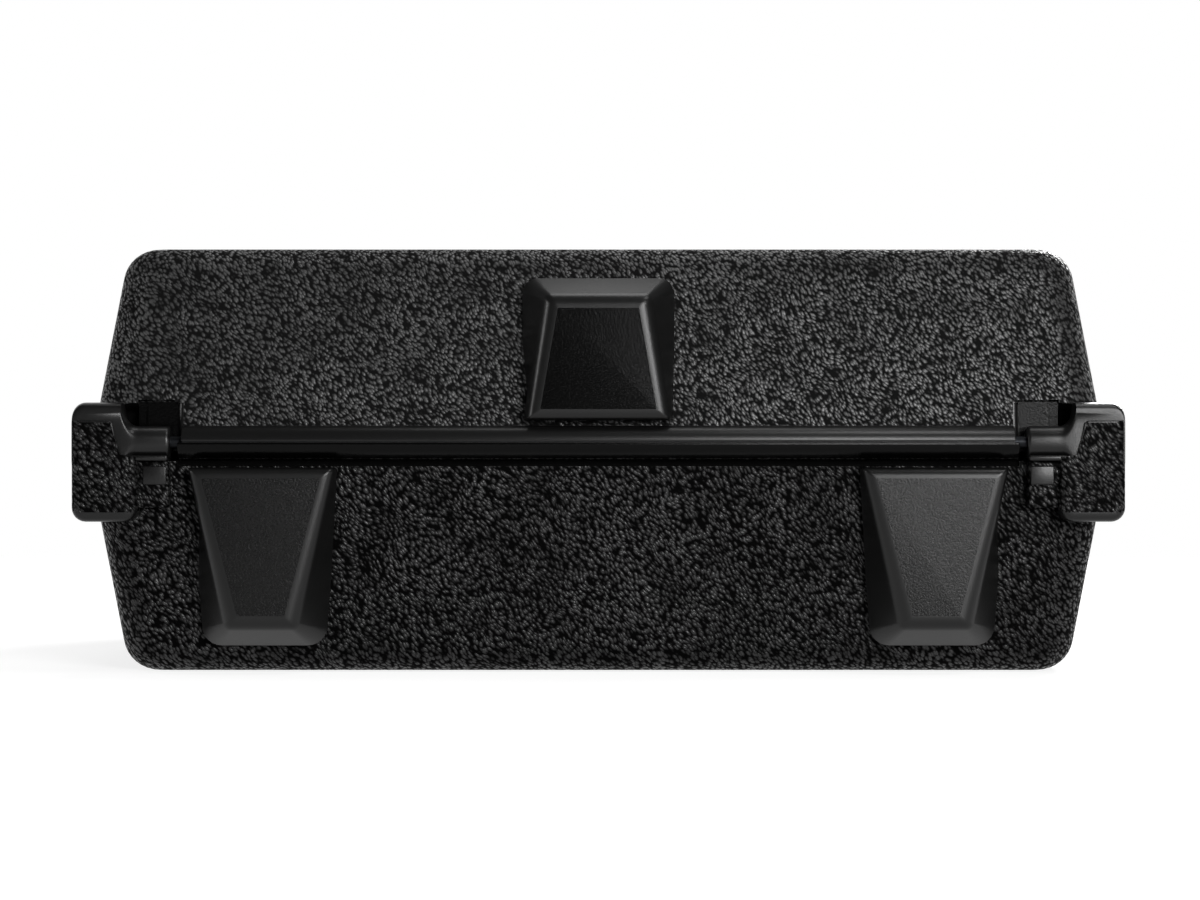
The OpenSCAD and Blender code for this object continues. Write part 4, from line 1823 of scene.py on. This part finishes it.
@dataclass
class CarryHandle:
    """The swinging handle with its arms, its soft ribbed grip and its pins."""

    form: CaseForm
    palette: Palette
    length: float = 33.0
    arm_t: float = 5.0
    arm_w: float = 8.0
    bar_r: float = 4.0
    grip_r: float = 7.5
    grip_inset: float = 3.0
    grip_edge: float = 2.0
    pin_r: float = 2.0
    head_r: float = 3.5
    head_t: float = 1.5
    groove_pitch: float = 4.0
    groove_depth: float = 0.7
    # Half a groove's width, and its section in shares of that and of the groove's depth
    groove_half: float = 0.9
    groove: tuple[Point, ...] = ((-1, 0), (-0.5, 0.7), (0, 1), (0.5, 0.7), (1, 0))
    plain_end: float = 6.0
    arm_edge_r: float = 0.7
    bar_into: float = 1.0
    head_step: float = 0.2
    # How high the dome starts, as a share of the head, and how flat it is
    dome_from: float = 0.35
    dome_flat: float = 0.6

    @property
    def arm_x(self) -> float:
        """Where an arm starts."""
        return self.form.handle_x - self.form.handle_lug_t / 2 - self.form.side_gap - self.arm_t

    @property
    def bar(self) -> Point:
        """Y and Z of the bar's middle line."""
        y, z = self.form.handle_pivot
        return (y, z - self.length)

    def arm(self) -> Mesh:
        """Builds the right arm, with an eye at its pivot and a round end round the bar.

        Returns:
            A closed mesh.
        """
        r = self.form.eye_r
        spread = math.degrees(math.asin(self.arm_w / 2 / r))
        eye = arc(*self.form.handle_pivot, r, spread - 90, 270 - spread, 24)
        section = [*eye, *arc(*self.bar, r, 90 + spread, 450 - spread, 24)]
        return soften(prism(section, self.arm_x, self.arm_x + self.arm_t), self.arm_edge_r)

    def grip(self) -> Mesh:
        """Turns the grip, a sleeve with rounded ends and shallow grooves round it.

        Returns:
            A closed mesh.
        """
        half, r, edge = self.arm_x - self.grip_inset, self.grip_r, self.grip_edge
        rise = arc(half - edge, r - edge, edge, 90, 0, 6)
        count = int((half - self.plain_end) / self.groove_pitch)
        grooves = [
            (k * self.groove_pitch + self.groove_half * across, r - self.groove_depth * deep)
            for k in range(-count, count + 1) for across, deep in self.groove
        ]
        bore = self.bar_r + SLIP
        profile = [(-half, bore), *((-x, q) for x, q in reversed(rise)), *grooves, *rise, (half, bore)]
        return turned(profile, self.bar, closed=True)

    def pin(self) -> Mesh:
        """Turns the right pin, whose domed head stands outside its lug.

        Returns:
            A closed mesh.
        """
        head_x = self.form.handle_x + self.form.handle_lug_t / 2 + self.form.side_gap
        low, high, steps = self.dome_from, 1 - self.dome_from, 7
        dome = [
            (head_x + self.head_t * (low + high * math.sin(a)), self.head_r * math.cos(a) ** self.dome_flat)
            for a in (math.pi / 2 * k / steps for k in range(steps))
        ]
        shank = [(self.arm_x, self.pin_r), (head_x, self.pin_r), (head_x, self.head_r - self.head_step)]
        return turned([*shank, *dome], self.form.handle_pivot)

    def build(self) -> None:
        """Builds the handle's pieces on their bodies and dresses the hinge pins."""
        arm, end = self.arm(), self.arm_x + self.bar_into
        bar = turned([(-end, self.bar_r), (end, self.bar_r)], self.bar)
        made = as_object("handle_frame_moulded", [arm, mirrored(arm), bar], [self.palette.nylon])
        place(made, "handle", "latch_plastic", "handle_frame")
        made = as_object("handle_grip_sleeve", [self.grip()], [self.palette.rubber])
        place(made, "handle", "grip_rubber", "handle_grip")
        for side in Side:
            name = f"pin_{side.name.lower()}"
            pin = self.pin() if side is Side.RIGHT else mirrored(self.pin())
            made = as_object(f"handle_{name}_domed", [pin], [self.palette.steel])
            place(made, "base", "pin_steel", f"handle_{name}")
            # The hinge pins get steel painted dark as the shade of their gap.
            dress(f"hinge_{name}", self.palette.gap_shaded_steel)


# The studio


@dataclass(frozen=True)
class SoftLamp:
    """A square softbox that points at the case, with its places and its side in metres."""

    name: str
    at: Triple
    watts: float
    size: float
    look_at: Triple = (0.0, 0.0, 0.05)

    def build(self) -> None:
        """Hangs the lamp."""
        data = bpy.data.lights.new(self.name, "AREA")
        data.energy, data.size = self.watts, self.size
        lamp = bpy.data.objects.new(self.name, data)
        lamp.location = self.at
        aim = Vector(self.look_at) - Vector(self.at)
        lamp.rotation_euler = aim.to_track_quat("-Z", "Y").to_euler()
        bpy.context.scene.collection.objects.link(lamp)


@dataclass
class Studio:
    """A sheet of paper in a white room, softboxes, and the camera at the photograph's angle."""

    lens_mm: float = 100.0
    sensor_mm: float = 36.0
    # Width of the photograph's frame at the case's rear, and the camera's place, in millimetres
    frame_mm: float = 300.0
    camera_z: float = 56.5
    camera_x: float = 0.4
    rear_y: float = -106.1
    room_light: float = 0.1
    # Half the floor's side, in metres
    floor_half: float = 0.8
    # Mirrors see the white room on the handle's side alone, so that the rear keeps its dark tone.
    white_slope: float = -0.8
    white_full: float = 0.4
    lamps: tuple[SoftLamp, ...] = (
        SoftLamp("key_softbox", at=(0.47, -1.17, 0.32), watts=17, size=0.5),
        SoftLamp("upper_softbox", at=(0.5, -0.45, 1.2), watts=4, size=0.35),
        SoftLamp("left_softbox", at=(-1.3, -0.35, 0.3), watts=4, size=0.3),
        SoftLamp("top_softbox", at=(0.1, 0.3, 1.3), watts=5, size=0.6),
        SoftLamp("front_softbox", at=(0.6, 1.3, 0.7), watts=20, size=0.5),
    )

    def floor(self) -> None:
        """Lays the sheet of paper that the case lies on, which isn't part of it."""
        half = self.floor_half
        mesh = bpy.data.meshes.new("floor")
        corners = [(-half, -half, 0), (half, -half, 0), (half, half, 0), (-half, half, 0)]
        mesh.from_pydata(corners, [], [(0, 1, 2, 3)])
        mesh.materials.append(StudioPaper("paper_matt").build())
        made = bpy.data.objects.new("floor", mesh)
        bpy.context.scene.collection.objects.link(made)

    def world(self) -> None:
        """Makes the room: white for the camera and glass and partly for mirrors, and a low even light."""
        world = bpy.data.worlds.new("studio")
        world.use_nodes = True
        tree = world.node_tree
        path = add_node(tree, "ShaderNodeLightPath").outputs
        way = add_node(tree, "ShaderNodeSeparateXYZ", {
            0: add_node(tree, "ShaderNodeTexCoord").outputs["Generated"],
        }).outputs
        level = add_node(tree, "ShaderNodeMath", {
            0: way["Z"], 1: self.white_slope, 2: way["Y"],
        }, operation="MULTIPLY_ADD").outputs[0]
        behind = add_node(tree, "ShaderNodeMapRange", {
            "Value": level, "From Min": 0.0, "From Max": self.white_full,
        }).outputs["Result"]
        seen = add_node(tree, "ShaderNodeMath", {
            0: path["Is Glossy Ray"], 1: behind,
        }, operation="MULTIPLY").outputs[0]
        for kind in ("Is Camera Ray", "Is Transmission Ray"):
            seen = add_node(tree, "ShaderNodeMath", {0: seen, 1: path[kind]}, operation="MAXIMUM").outputs[0]
        strength = add_node(tree, "ShaderNodeMapRange", {
            "Value": seen, "To Min": self.room_light, "To Max": 1.0,
        }).outputs["Result"]
        tree.links.new(strength, tree.nodes["Background"].inputs["Strength"])
        tree.nodes["Background"].inputs["Color"].default_value = linear("#FFFFFF")
        bpy.context.scene.world = world

    def camera(self) -> None:
        """Sets the camera level behind the case, as far away as fits its frame."""
        data = bpy.data.cameras.new("camera")
        data.lens, data.sensor_width, data.clip_end = self.lens_mm, self.sensor_mm, 50
        camera = bpy.data.objects.new("camera", data)
        away = self.frame_mm * self.lens_mm / self.sensor_mm
        camera.location = Vector((self.camera_x, self.rear_y - away, self.camera_z)) * MM
        camera.rotation_euler = (math.pi / 2, 0, 0)
        bpy.context.scene.collection.objects.link(camera)
        bpy.context.scene.camera = camera

    def build(self) -> None:
        """Sets up the floor, the lamps, the room and the camera."""
        self.floor()
        for lamp in self.lamps:
            lamp.build()
        self.world()
        self.camera()
        bpy.context.scene.view_settings.view_transform = "Standard"


def main() -> None:
    """Builds every sub-assembly in order and reports it."""
    logging.basicConfig(level=logging.INFO, format="%(message)s")
    form, palette = CaseForm(), Palette()
    Studio().build()
    BaseShell(form, palette).build()
    LidShell(form, palette).build()
    FoamSet(form, palette).build()
    for side in Side:
        DrawLatch(form, palette, side).build()
    CarryHandle(form, palette).build()


if __name__ == "__main__":
    main()
